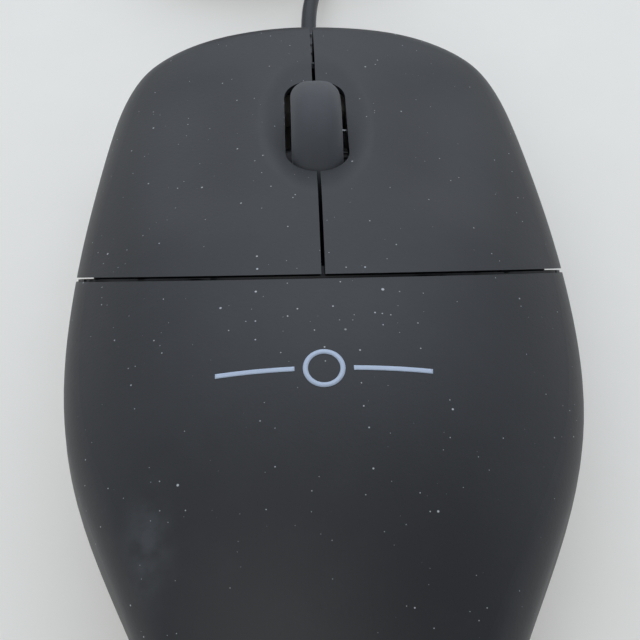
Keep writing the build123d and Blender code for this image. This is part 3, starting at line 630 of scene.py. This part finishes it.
# ---------------------------------------------------------------- sub-assemblies
@dataclass
class ButtonPair:
    """The two mouse buttons: moulded skins with a dish for each fingertip and a wheel well.

    Attributes:
        finish: Finish of the covers.
        dish_at: Middle of the right-hand dish on plan.
        dish_size: Half-widths of a dish, across and along.
        dish_depth: Depth of a dish.
        well_at: Middle of the hollow round the wheel.
        well_size: Half-axes of the hollow.
        well_depth: Depth of the hollow beside the wheel.
        edge: Longest mesh edge on the pressed skin.
        wall: Thickness of the wall.
        wheel_gap: Room round the wheel's tread.
    """

    finish: bpy.types.Material
    well_at: Vector
    dish_at: tuple[float, float] = (14.8 * MM, 27.0 * MM)
    dish_size: tuple[float, float] = (7.2 * MM, 15.0 * MM)
    dish_depth: float = 1.6 * MM
    well_size: tuple[float, float] = (7.4 * MM, 15.5 * MM)
    well_depth: float = 1.7 * MM
    edge: float = 0.9 * MM
    wall: float = 1.8 * MM
    wheel_gap: float = 0.8 * MM

    def pressed_by(self, x: float, y: float) -> float:
        """Depth of the dishes and the well at a point on plan."""
        across = (abs(x) - self.dish_at[0]) / self.dish_size[0]
        along = (y - self.dish_at[1]) / self.dish_size[1]
        dish = self.dish_depth * math.exp(-(across**2) - along**4)
        round_wheel = (x / self.well_size[0]) ** 2 + (
            (y - self.well_at.y) / self.well_size[1]
        ) ** 2
        share = max(0.0, 1 - round_wheel)
        well = self.well_depth * share * share * (3 - 2 * share)
        return dish + well

    def _divided(self, source: bpy.types.Object) -> bmesh.types.BMesh:
        """Copy a button's mesh, merged, with the long edges of its top divided."""
        shape = bmesh.new()
        shape.from_mesh(source.data)
        bmesh.ops.remove_doubles(shape, verts=shape.verts, dist=0.001 * MM)
        top = max(v.co.z for v in shape.verts)
        for _ in range(7):
            long_edges = [
                e
                for e in shape.edges
                if e.calc_length() > self.edge
                and max(v.co.z for v in e.verts) > top - 19 * MM
                and any(f.normal.z > 0.25 for f in e.link_faces)
            ]
            if not long_edges:
                break
            bmesh.ops.subdivide_edges(shape, edges=long_edges, cuts=1)
            bmesh.ops.triangulate(
                shape, faces=[f for f in shape.faces if len(f.verts) > 3]
            )
        return shape

    def _clear_wheel(self, inside: list[bmesh.types.BMVert]) -> None:
        """Move what the well brought near the wheel's tread, under the skin, out of its way."""
        low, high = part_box("wheel_tyre")
        axle = (low + high) / 2
        reach = (high.z - low.z) / 2 + self.wheel_gap
        for vertex in inside:
            spoke = Vector((0, vertex.co.y - axle.y, vertex.co.z - axle.z))
            if abs(vertex.co.x) < high.x + 0.3 * MM and spoke.length < reach:
                vertex.co += spoke * (reach / spoke.length - 1)

    def build(self, node: str, body: str) -> bpy.types.Object:
        """Build one button.

        Args:
            node: CAD node that it stands for.
            body: CAD body that it rides on.

        Returns:
            The button.
        """
        source = bpy.data.objects[node]
        skin = Surface(source)
        shape = self._divided(source)
        shape.normal_update()
        normals = [
            skin.normal(vertex.co.lerp(face.calc_center_median(), 0.04))
            for face in shape.faces
            for vertex in face.verts
        ]
        places = [vertex.co.copy() for face in shape.faces for vertex in face.verts]
        inside = []
        for vertex in shape.verts:
            outside = skin.top_over(vertex.co)
            under = outside - vertex.co.z
            if under > 0.6 * self.wall:
                inside.append(vertex)
            if under < 3 * self.wall:
                share = min(1.0, max(0.0, (3 * self.wall - under) / (2 * self.wall)))
                vertex.co.z -= share * self.pressed_by(vertex.co.x, vertex.co.y)
        self._clear_wheel(inside)
        piece = as_piece(f"{node}_skin", shape, self.finish)
        step = 0.05 * MM
        tilted = []
        for place, normal in zip(places, normals):
            if normal.z > 0.2:
                here = self.pressed_by(place.x, place.y)
                fall_x = (self.pressed_by(place.x + step, place.y) - here) / step
                fall_y = (self.pressed_by(place.x, place.y + step) - here) / step
                normal = normal + Vector((fall_x, fall_y, 0)) * normal.z
            tilted.append(normal.normalized())
        piece.data.normals_split_custom_set(tilted)
        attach(piece, body)
        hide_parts(node)
        LOG.info("%s: %d triangles", piece.name, len(piece.data.polygons))
        return piece


class Surface:
    """Smooth surface of a CAD node: its shading normals and the height of its top."""

    def __init__(self, node: bpy.types.Object) -> None:
        """Index the node's triangles.

        Args:
            node: The CAD node.
        """
        mesh = node.data
        mesh.calc_loop_triangles()
        triangles = mesh.loop_triangles
        self.corners = [[mesh.vertices[i].co.copy() for i in t.vertices] for t in triangles]
        self.normals = [[mesh.corner_normals[i].vector.copy() for i in t.loops] for t in triangles]
        points = [c for corners in self.corners for c in corners]
        faces = [(3 * i, 3 * i + 1, 3 * i + 2) for i in range(len(self.corners))]
        self.tree = BVHTree.FromPolygons(points, faces)

    def normal(self, point: Vector) -> Vector:
        """Shading normal of the nearest place on the surface."""
        place, _, index, _ = self.tree.find_nearest(point)
        shares = poly_3d_calc(self.corners[index], place)
        total = Vector((0.0, 0.0, 0.0))
        for share, normal in zip(shares, self.normals[index]):
            total += normal * share
        return total.normalized()

    def top_over(self, point: Vector) -> float:
        """Height of the highest surface over a point, or the point's own height."""
        hit = self.tree.ray_cast(Vector((point.x, point.y, 1.0)), Vector((0, 0, -1)))[0]
        return point.z if hit is None else hit.z


@dataclass
class ScrollWheel:
    """Rubber tyre with a gently crowned tread and round shoulders, on its moulded hub.

    Attributes:
        rubber: Finish of the tyre.
        shoulder: Radius of the shoulders.
        crown: Fall of the tread from its middle to its shoulders.
        segments: Steps round the wheel.
    """

    rubber: bpy.types.Material
    shoulder: float = 2.1 * MM
    crown: float = 0.25 * MM
    segments: int = 128

    def build(self) -> bpy.types.Object:
        """Build the tyre."""
        low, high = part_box("wheel_tyre")
        axle = (low + high) / 2
        outer = (high.z - low.z) / 2
        half = (high.x - low.x) / 2
        inner = outer - 2.2 * MM
        shape = bmesh.new()
        corners = [
            shape.verts.new((x, axle.y, axle.z + r))
            for x, r in (
                (-half, inner),
                (-half, outer - self.crown),
                (0.0, outer),
                (half, outer - self.crown),
                (half, inner),
            )
        ]
        ring = shape.faces.new(corners)
        round_off(shape, [corners[1], corners[3]], self.shoulder, 8, "VERTICES")
        crest = [v for v in shape.verts if abs(v.co.x) < 0.01 * MM]
        round_off(shape, crest, self.shoulder / 2, 4, "VERTICES")
        outline = list(ring.edges) if ring.is_valid else list(shape.edges)
        bmesh.ops.delete(shape, geom=list(shape.faces), context="FACES_ONLY")
        outline = [e for e in outline if e.is_valid]
        turn_round(shape, outline, axle, (1, 0, 0), self.segments, 0.002 * MM)
        piece = as_piece("wheel_tyre_rubber", shape, self.rubber)
        crisp(piece, 50)
        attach(piece, "wheel")
        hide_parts("wheel_tyre")
        LOG.info("%s: %d faces", piece.name, len(piece.data.polygons))
        return piece


@dataclass
class Cable:
    """Cable with its sleeve, the coil that it is put away in, and the plug on its end.

    Attributes:
        sheath: Finish of the cable and of the sleeve.
        moulding: Finish of the plug's grip.
        tie_finish: Finish of the tie round the coil.
        diameter: Diameter of the cable.
        length: Length of the cable, sleeve to plug; not used.
        coil_at: Middle of the coil on plan.
        coil_radii: Radii of the coil's turns, from the outermost in.
        layers: Layers of turns in the coil.
        turn_points: Points in each turn.
    """

    sheath: bpy.types.Material
    moulding: bpy.types.Material
    tie_finish: bpy.types.Material
    diameter: float = 2.2 * MM
    length: float = 1.4
    coil_at: tuple[float, float] = (-10.5 * MM, 98.0 * MM)
    coil_radii: tuple[float, ...] = (16.5 * MM, 14.3 * MM, 12.1 * MM, 9.9 * MM)
    layers: int = 4
    turn_points: int = 16

    ENTRY_MM = (
        (0.0, 62.5, 6.0),
        (0.0, 68.5, 6.0),
        (1.9, 76.8, 3.4),
        (4.4, 84.6, 1.5),
        (5.9, 91.5, 1.15),
    )
    TAIL_MM = (
        (-4.6, 81.5, 7.7),
        (2.0, 81.5, 7.3),
        (9.7, 82.0, 5.7),
        (16.2, 85.7, 4.4),
        (20.0, 92.2, 3.9),
        (20.0, 99.2, 3.9),
    )

    def turns(self) -> list[Vector]:
        """Points of the coil, wound outside in, inside out, and so on up the layers."""
        points = []
        last_step = self.layers * len(self.coil_radii) * self.turn_points - self.turn_points // 4
        for step in range(last_step + 1):
            turn, part = divmod(step, self.turn_points)
            layer, place = divmod(turn, len(self.coil_radii))
            blend = part / self.turn_points
            radius = self._radius(layer, place)
            next_layer, next_place = divmod(turn + 1, len(self.coil_radii))
            if next_layer < self.layers:
                change = max(0.0, (blend - 0.75) / 0.25)
                radius += (self._radius(next_layer, next_place) - radius) * change
            climb = layer + (max(0.0, (blend - 0.75) / 0.25) if next_layer > layer else 0.0)
            climb = min(climb, self.layers - 1)
            angle = 2 * math.pi * blend
            points.append(
                Vector(
                    (
                        self.coil_at[0] + radius * math.cos(angle),
                        self.coil_at[1] + radius * math.sin(angle),
                        self.diameter * (climb + 0.5),
                    )
                )
            )
        return points

    def _radius(self, layer: int, place: int) -> float:
        """Radius of a turn: layers run inwards and outwards in alternation."""
        return self.coil_radii[place if layer % 2 == 0 else -1 - place]

    def route(self) -> list[Vector]:
        """Control points of the whole cable, sleeve to plug."""
        entry = [Vector(p) * MM for p in self.ENTRY_MM]
        tail = [Vector(p) * MM for p in self.TAIL_MM]
        return entry + self.turns() + tail

    def build(self) -> bpy.types.Object:
        curve = bpy.data.curves.new("cable_cord", "CURVE")
        curve.dimensions = "3D"
        spline = curve.splines.new("NURBS")
        points = self.route()
        spline.points.add(len(points) - 1)
        for point, place in zip(spline.points, points):
            point.co = (*place, 1.0)
        spline.order_u = 3
        spline.use_endpoint_u = True
        spline.resolution_u = 6
        curve.bevel_depth = self.diameter / 2
        curve.bevel_resolution = 3
        curve.use_fill_caps = True
        piece = bpy.data.objects.new("cable_cord", curve)
        bpy.context.scene.collection.objects.link(piece)
        dress(piece, self.sheath)
        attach(piece, "housing")
        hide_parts("cable", "cable_coil", "cable_tail")
        tie = self._tie()
        grip = self._grip()
        relief = self._relief()
        LOG.info("cable: %d points", len(points))
        return piece

    def _tie(self) -> bpy.types.Object:
        """Build the strip that holds the coil together."""
        inside = self.coil_radii[-1] - self.diameter / 2
        outside = self.coil_radii[0] + self.diameter / 2
        width, thick, slack = 4.5 * MM, 0.35 * MM, 0.15 * MM
        shape = bmesh.new()
        bmesh.ops.create_cube(shape, size=1.0)
        height = self.layers * self.diameter
        bmesh.ops.delete(
            shape,
            geom=[f for f in shape.faces if abs(f.normal.y) > 0.9],
            context="FACES_ONLY",
        )
        bmesh.ops.scale(
            shape, verts=shape.verts, vec=(outside - inside + 2 * slack, width, height + slack)
        )
        bmesh.ops.translate(
            shape,
            verts=shape.verts,
            vec=(
                self.coil_at[0] - (inside + outside) / 2,
                self.coil_at[1],
                height / 2 + thick,
            ),
        )
        corners = [
            e for e in shape.edges if abs(e.verts[0].co.y - e.verts[1].co.y) > width / 2
        ]
        round_off(shape, corners, 1.1 * MM, 6)
        bmesh.ops.recalc_face_normals(shape, faces=shape.faces)
        bmesh.ops.solidify(shape, geom=list(shape.faces), thickness=thick)
        bmesh.ops.recalc_face_normals(shape, faces=shape.faces)
        piece = as_piece("coil_tie", shape, self.tie_finish)
        crisp(piece)
        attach(piece, "housing")
        return piece

    def _grip(self) -> bpy.types.Object:
        """Build the plug's grip: a rounded block with finger ribs and a short sleeve."""
        low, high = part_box("plug_grip")
        sleeve = 6.0 * MM
        rear = low.y + sleeve
        middle = (low + high) / 2
        shape = bmesh.new()
        bmesh.ops.create_cube(shape, size=1.0)
        bmesh.ops.scale(
            shape, verts=shape.verts, vec=(high.x - low.x, high.y - rear, high.z - low.z)
        )
        bmesh.ops.translate(
            shape, verts=shape.verts, vec=(middle.x, (rear + high.y) / 2, middle.z)
        )
        long_edges = [
            e for e in shape.edges if abs(e.verts[0].co.y - e.verts[1].co.y) > 10 * MM
        ]
        round_off(shape, long_edges, 2.6 * MM, 6)
        back = [e for e in shape.edges if all(v.co.y < rear + 0.1 * MM for v in e.verts)]
        round_off(shape, back, 2.2 * MM, 5)
        for index in range(7):
            centre_y = rear + (5.0 + 1.8 * index) * MM
            for cut in (-0.55, -0.25, 0.25, 0.55):
                bmesh.ops.bisect_plane(
                    shape,
                    geom=[*shape.verts, *shape.edges, *shape.faces],
                    plane_co=(0, centre_y + cut * MM, 0),
                    plane_no=(0, 1, 0),
                )
            for vertex in shape.verts:
                inside = abs(vertex.co.y - centre_y) < 0.3 * MM
                if inside and abs(vertex.co.x - middle.x) > (high.x - low.x) / 2 - 1.9 * MM:
                    vertex.co.x -= math.copysign(0.5 * MM, vertex.co.x - middle.x)
        grip = as_piece("plug_grip_body", shape, self.moulding)
        bmesh_sleeve = bmesh.new()
        bmesh.ops.create_cone(
            bmesh_sleeve,
            cap_ends=True,
            segments=32,
            radius1=1.5 * MM,
            radius2=2.6 * MM,
            depth=sleeve + 1.0 * MM,
            matrix=Matrix.Translation((middle.x, low.y + (sleeve + 1.0 * MM) / 2, middle.z))
            @ Matrix.Rotation(-math.pi / 2, 4, "X"),
        )
        collar = as_piece("plug_sleeve", bmesh_sleeve, self.sheath)
        for piece in (grip, collar):
            crisp(piece, 40)
            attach(piece, "housing")
        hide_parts("plug_grip")
        return grip

    def _relief(self) -> bpy.types.Object:
        """Build the tapered sleeve where the cable leaves the housing, with its ribs."""
        low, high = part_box("strain_relief")
        tip = Vector(self.ENTRY_MM[0]) * MM
        shape = bmesh.new()
        start = low.y
        profile = [
            (start, 1.2),
            (start, 3.1),
            (start + 1.6 * MM, 3.1),
            (start + 1.6 * MM, 2.3),
        ]
        wall_y = high.y - 8.0 * MM
        ribs = 4
        step = (tip.y - 0.8 * MM - wall_y) / ribs
        for index in range(ribs):
            y = wall_y + index * step
            radius = 2.1 - 0.16 * index
            profile += [
                (y, radius),
                (y + 0.62 * step, radius - 0.05),
                (y + 0.66 * step, radius - 0.4),
                (y + 0.96 * step, radius - 0.4),
            ]
        profile += [(tip.y - 0.5 * MM, 1.45), (tip.y, 1.3), (tip.y, 1.12)]
        verts = [shape.verts.new((tip.x, y, tip.z + r * MM)) for y, r in profile]
        edges = [shape.edges.new(pair) for pair in zip(verts, verts[1:])]
        edges.append(shape.edges.new((verts[-1], verts[0])))
        turn_round(shape, edges, tip, (0, 1, 0), 40, 0.001 * MM)
        piece = as_piece("cable_sleeve", shape, self.sheath)
        crisp(piece, 30)
        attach(piece, "housing")
        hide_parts("strain_relief")
        return piece


@dataclass
class SeamRib:
    """Raised rib on the palm cover's front edge, which closes the seam below its surface.

    Attributes:
        finish: Finish of the rib, black as any deep groove is.
        depth: How far below the surface the rib starts on the mouse's back.
        inset: How far inside the surface it ends on the flanks.
        height: How far it stands into the seam.
        seam: Width of the seam.
        lean: Degrees that the seam runs forward on its way down.
        lowest: Height under which there is no rib, so that the buttons can move.
    """

    finish: bpy.types.Material
    depth: float = 1.3 * MM
    inset: float = 0.15 * MM
    height: float = 0.25 * MM
    seam: float = 0.5 * MM
    lean: float = 36.0
    lowest: float = 14.5 * MM

    def build(self) -> bpy.types.Object:
        """Build the rib from the section of the cover's wall."""
        lean = math.radians(self.lean)
        across = Vector((0, math.cos(lean), math.sin(lean)))
        cover = bpy.data.objects["palm_cover"]
        surface = Surface(cover)
        seam_z = surface.top_over(Vector((0.0, -self.seam, 0.0)))
        edge = Vector((0, 0, seam_z)) - across * (self.seam / 2 + 0.02 * MM)
        shape = bmesh.new()
        shape.from_mesh(cover.data)
        bmesh.ops.remove_doubles(shape, verts=shape.verts, dist=0.001 * MM)
        cut = bmesh.ops.bisect_plane(
            shape,
            geom=[*shape.verts, *shape.edges, *shape.faces],
            plane_co=edge,
            plane_no=across,
        )["geom_cut"]
        kept = [e for e in cut if isinstance(e, bmesh.types.BMEdge)]
        section = bmesh.ops.triangle_fill(shape, edges=kept, use_beauty=True)["geom"]
        faces = [f for f in section if isinstance(f, bmesh.types.BMFace)]
        bmesh.ops.delete(
            shape, geom=[f for f in shape.faces if f not in set(faces)], context="FACES"
        )
        bmesh.ops.dissolve_limit(
            shape,
            angle_limit=math.radians(0.5),
            verts=shape.verts,
            edges=[e for e in shape.edges if not e.is_boundary],
        )
        inner = set(shape.faces)
        bmesh.ops.inset_region(
            shape, faces=shape.faces, thickness=self.inset, use_even_offset=True, use_boundary=True
        )
        bmesh.ops.delete(
            shape, geom=[f for f in shape.faces if f not in inner], context="FACES"
        )
        downward = Vector((0, math.sin(lean), -math.cos(lean)))
        bmesh.ops.translate(shape, verts=shape.verts, vec=downward * (self.depth - self.inset))
        bmesh.ops.triangulate(shape, faces=shape.faces)
        grown = bmesh.ops.extrude_face_region(shape, geom=shape.faces)["geom"]
        bmesh.ops.translate(
            shape,
            verts=[v for v in grown if isinstance(v, bmesh.types.BMVert)],
            vec=across * (self.height + 0.02 * MM),
        )
        bmesh.ops.bisect_plane(
            shape,
            geom=[*shape.verts, *shape.edges, *shape.faces],
            plane_co=(0, 0, self.lowest),
            plane_no=(0, 0, 1),
            clear_inner=True,
        )
        bmesh.ops.holes_fill(shape, edges=[e for e in shape.edges if e.is_boundary])
        bmesh.ops.recalc_face_normals(shape, faces=shape.faces)
        piece = as_piece("palm_cover_rib", shape, self.finish)
        crisp(piece)
        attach(piece, "housing")
        LOG.info("%s: %d faces", piece.name, len(piece.data.polygons))
        return piece


@dataclass
class PrintedMark:
    """Plain pad-printed mark on the palm cover: a small ring between two bars.

    Attributes:
        ink: Finish of the print.
        middle: Middle of the mark on plan.
        ring_radius: Outer radius of the ring.
        stroke: Width of the printed lines.
        bar_length: Length of each bar.
        thickness: Height of the ink.
    """

    ink: bpy.types.Material
    middle: tuple[float, float] = (-0.3 * MM, -12.2 * MM)
    ring_radius: float = 2.3 * MM
    stroke: float = 0.55 * MM
    bar_length: float = 8.6 * MM
    thickness: float = 0.03 * MM

    def build(self) -> bpy.types.Object:
        """Build the mark and lay it on the cover."""
        shape = bmesh.new()
        outer = bmesh.ops.create_circle(shape, segments=96, radius=self.ring_radius)["verts"]
        inner = bmesh.ops.create_circle(
            shape, segments=96, radius=self.ring_radius - self.stroke
        )["verts"]
        edges = list({e for v in outer + inner for e in v.link_edges})
        bmesh.ops.bridge_loops(shape, edges=edges)
        for side in (-1, 1):
            bar = bmesh.ops.create_grid(shape, x_segments=40, y_segments=3, size=0.5)["verts"]
            bmesh.ops.scale(shape, verts=bar, vec=(self.bar_length, self.stroke, 1))
            bmesh.ops.translate(
                shape,
                verts=bar,
                vec=(side * (self.ring_radius + 0.9 * MM + self.bar_length / 2), 0, 0),
            )
        bmesh.ops.translate(shape, verts=shape.verts, vec=(*self.middle, 0))
        cover = Surface(bpy.data.objects["palm_cover"])
        for vertex in shape.verts:
            vertex.co.z = cover.top_over(vertex.co) + 0.01 * MM
        bmesh.ops.recalc_face_normals(shape, faces=shape.faces)
        for face in shape.faces:
            if face.normal.z < 0:
                face.normal_flip()
        sheet = as_piece("printed_mark", shape, self.ink)
        solid = sheet.modifiers.new("ink thickness", "SOLIDIFY")
        solid.thickness = self.thickness
        solid.offset = 1.0
        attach(sheet, "housing")
        return sheet


@dataclass
class Studio:
    """Pale table top, soft light from beyond the mouse and a camera behind and above it.

    Attributes:
        eye_mm: Place of the camera.
        pitch: Degrees that the camera looks down.
        yaw: Degrees that it turns about the vertical.
        roll: Degrees that it rolls.
        lens_mm: Focal length on a 36 mm sensor.
        table_colour: Hex colour of the table top.
        table_glow: Light that the table top gives of itself, for the rest of the room.
    """

    eye_mm: tuple[float, float, float] = (-4.737, -108.376, 185.806)
    pitch: float = 56.0
    yaw: float = -2.33
    roll: float = 0.78
    lens_mm: float = 94.0
    table_colour: str = "#d6d4ce"
    table_glow: float = 0.34

    WINDOW_WAY = (0.0, 0.71, 0.71)    # the window is ahead and above
    WINDOW = 1.7                      # its brightness, that of the walls and of the rest
    WALLS = 0.75
    DIM = 0.22

    def camera(self) -> None:
        """Place the camera."""
        pitch, yaw, roll = (math.radians(a) for a in (self.pitch, self.yaw, self.roll))
        back = Vector(
            (math.sin(yaw) * math.cos(pitch), -math.cos(yaw) * math.cos(pitch), math.sin(pitch))
        )
        level = (-back).cross(Vector((0, 0, 1))).normalized()
        upright = level.cross(-back)
        right = level * math.cos(roll) + upright * math.sin(roll)
        up = -level * math.sin(roll) + upright * math.cos(roll)
        data = bpy.data.cameras.new("camera")
        data.lens = self.lens_mm
        data.sensor_width = 36.0
        data.clip_start, data.clip_end = 0.005, 10.0
        camera = bpy.data.objects.new("camera", data)
        bpy.context.scene.collection.objects.link(camera)
        turn = Matrix((right, up, back)).transposed().to_4x4()
        camera.matrix_world = Matrix.Translation(Vector(self.eye_mm) * MM) @ turn
        bpy.context.scene.camera = camera

    def lamp(
        self, name: str, place: Vector, size: float, power: float, aim: Vector
    ) -> bpy.types.Object:
        """Add a soft square lamp.

        Args:
            name: The lamp's name.
            place: Where it hangs.
            size: Length of its side.
            power: Its power in watts.
            aim: What it points at.

        Returns:
            The lamp.
        """
        data = bpy.data.lights.new(name, "AREA")
        data.shape = "SQUARE"
        data.size = size
        data.energy = power
        lamp = bpy.data.objects.new(name, data)
        lamp.matrix_world = Matrix.Translation(place) @ (
            aim - place
        ).to_track_quat("-Z", "Y").to_matrix().to_4x4()
        bpy.context.scene.collection.objects.link(lamp)
        return lamp

    def build(self) -> None:
        """Build the table, the lamps and the camera."""
        shape = bmesh.new()
        bmesh.ops.create_grid(shape, x_segments=1, y_segments=1, size=1.5)
        bmesh.ops.translate(shape, verts=shape.verts, vec=(0, 0, -0.02 * MM))
        laminate = Moulded("table laminate", self.table_colour, Texture.SATIN, 0.55, 0.01).build()
        glow = laminate.node_tree.nodes["Principled BSDF"]
        glow.inputs["Emission Color"].default_value = linear(self.table_colour)
        glow.inputs["Emission Strength"].default_value = self.table_glow
        table = as_piece("table", shape, laminate)
        aim = Vector((0, 0, 0.015))
        self.lamp("softbox", Vector((-0.3, -0.8, 1.0)), 0.8, 3.2, aim)
        self.room()
        bpy.context.scene.view_settings.view_transform = "Standard"
        self.camera()

    def room(self) -> None:
        """Build the room's light: bright beyond the mouse and at the sides, dim overhead."""
        world = bpy.data.worlds.new("room")
        world.use_nodes = True
        tree = world.node_tree
        tree.nodes.clear()
        way = add_node(tree, "ShaderNodeTexCoord").outputs["Generated"]
        ahead = add_node(
            tree,
            "ShaderNodeVectorMath",
            {"operation": "DOT_PRODUCT"},
            {0: way, 1: Vector(self.WINDOW_WAY)},
        )
        across = add_node(tree, "ShaderNodeSeparateXYZ", inputs={"Vector": way}).outputs["X"]
        both: Any = self.DIM
        for value, start, end, most in (
            (ahead.outputs["Value"], 0.55, 0.98, self.WINDOW),
            (calc(tree, "ABSOLUTE", across), 0.55, 0.95, self.WALLS),
        ):
            lit = add_node(
                tree,
                "ShaderNodeMapRange",
                {"interpolation_type": "SMOOTHSTEP"},
                {"Value": value, "From Min": start, "From Max": end, "To Max": most},
            )
            both = calc(tree, "ADD", lit.outputs["Result"], both)
        light = add_node(
            tree,
            "ShaderNodeBackground",
            inputs={"Color": linear("#dfe7f3"), "Strength": both},
        )
        add_node(tree, "ShaderNodeOutputWorld", inputs={"Surface": light.outputs["Background"]})
        bpy.context.scene.world = world


@dataclass
class Fittings:
    """Every CAD piece that keeps its own shape, with the finish of each."""

    cover: bpy.types.Material
    base: bpy.types.Material

    def build(self) -> None:
        """Dress the CAD nodes."""
        black = Moulded("black ABS, satin", "#1b1c1d", Texture.SATIN, 0.42).build()
        white = Moulded("natural acetal", "#dcd9cf", Texture.SATIN, 0.4).build()
        ivory = Moulded("ivory nylon", "#d8cfb4", Texture.SATIN, 0.4).build()
        resin = Moulded("chip resin", "#17181a", Texture.SATIN, 0.6).build()
        film = Moulded("silver-grey label film", "#a9abad", Texture.POLISHED, 0.35, 0.03).build()
        glide = Moulded("low-friction film, black", "#101112", Texture.SATIN, 0.5).build()
        ceramic = Moulded("fired ceramic", "#8a6f52", Texture.SATIN, 0.5).build()
        can = Moulded("sleeved capacitor can", "#2a3f7c", Texture.POLISHED, 0.3).build()
        red = Moulded("tinted epoxy, red", "#a31414", Texture.POLISHED, 0.2).build()
        clear = ClearPlastic("clear polycarbonate", "#eef4f4").build()
        steel = Metal("drawn steel", "#b9bbbd", 0.3).build()
        zinc = Metal("zinc-plated steel", "#a7a9ab", 0.4).build()
        nickel = Metal("nickel-plated steel", "#c9cacb", 0.18).build()
        gold = Metal("gold plate", "#d8b15a", 0.2).build()
        board = SolderMask("green solder mask", "#12492a", "#2f7a4a").build()
        low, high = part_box("wires")
        hues = ("#b42020", "#e8e8e4", "#1f8a3c", "#202124")
        step = (high.z - low.z) / len(hues)
        wires = WireColours("PVC wire sleeves", hues, low.z, step).build()
        finishes = {
            self.cover: ("palm_cover",),
            self.base: ("base_shell",),
            black: (
                "wheel_hub", "left_switch", "right_switch", "middle_switch", "led_clip",
            ),
            white: (
                "wheel_carrier", "carrier_bracket", "board_header", "wire_connector", "plug_insert",
            ),
            ivory: ("left_switch_plunger", "right_switch_plunger", "middle_switch_plunger"),
            resin: ("sensor_chip", "wheel_light_detector"),
            film: ("underside_label",),
            glide: ("foot_front_left", "foot_front_right", "foot_rear_left", "foot_rear_right"),
            ceramic: ("small_components",),
            can: ("capacitors",),
            red: ("illumination_led",),
            clear: ("sensor_lens", "wheel_light_emitter"),
            steel: ("button_hinge_pin", "detent_spring"),
            zinc: ("case_screw", "board_screws"),
            nickel: ("plug_shell",),
            gold: ("plug_contacts",),
            board: ("main_board",),
            wires: ("wires",),
        }
        for finish, nodes in finishes.items():
            for node in nodes:
                dress(bpy.data.objects[node], finish)
        LOG.info("dressed %d CAD nodes", sum(len(nodes) for nodes in finishes.values()))


def main() -> None:
    """Build the looks of the mouse, round its frame."""
    logging.basicConfig(level=logging.INFO, format="%(name)s %(message)s")
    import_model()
    cover = HandledPlastic(
        name="charcoal ABS, spark-eroded",
        colour="#1c1d1f",
        dust="#c9ccce",
        roughness=0.5,
        wear_and_sheen_at=Vector((-19.2, -29, 26)) * MM,
        wear_and_sheen_size=Vector((4.0, 9.0, 7)) * MM,
        dusty_at=Vector((1, -5, 33)) * MM,
    ).build()
    base = Moulded("black ABS, moulded", "#1e1f21", Texture.SPARK_ERODED, 0.5).build()
    sheath = Rubber("matte PVC sheath", "#1f2022", 0.55, 0.3).build()
    Studio().build()
    Cable(
        sheath=sheath,
        moulding=Moulded("plug moulding, black PVC", "#1c1d1f", Texture.SPARK_ERODED, 0.5).build(),
        tie_finish=Rubber("vinyl tie", "#141516", 0.5, 0.4).build(),
    ).build()
    Fittings(cover, base).build()
    slot_middle = Vector((0.0, middle_of("wheel_tyre").y + 2.1 * MM, 0.0))
    buttons = ButtonPair(finish=cover, well_at=slot_middle)
    buttons.build("left_button", "left_button")
    buttons.build("right_button", "right_button")
    ScrollWheel(rubber=Rubber("wheel rubber", "#37393c", 0.62, 0.2).build()).build()
    SeamRib(finish=base).build()
    ink = Moulded("pad-print ink, pale blue-grey", "#b7c4d6", Texture.POLISHED, 0.5, 0.05)
    PrintedMark(ink=ink.build()).build()


if __name__ == "__main__":
    main()
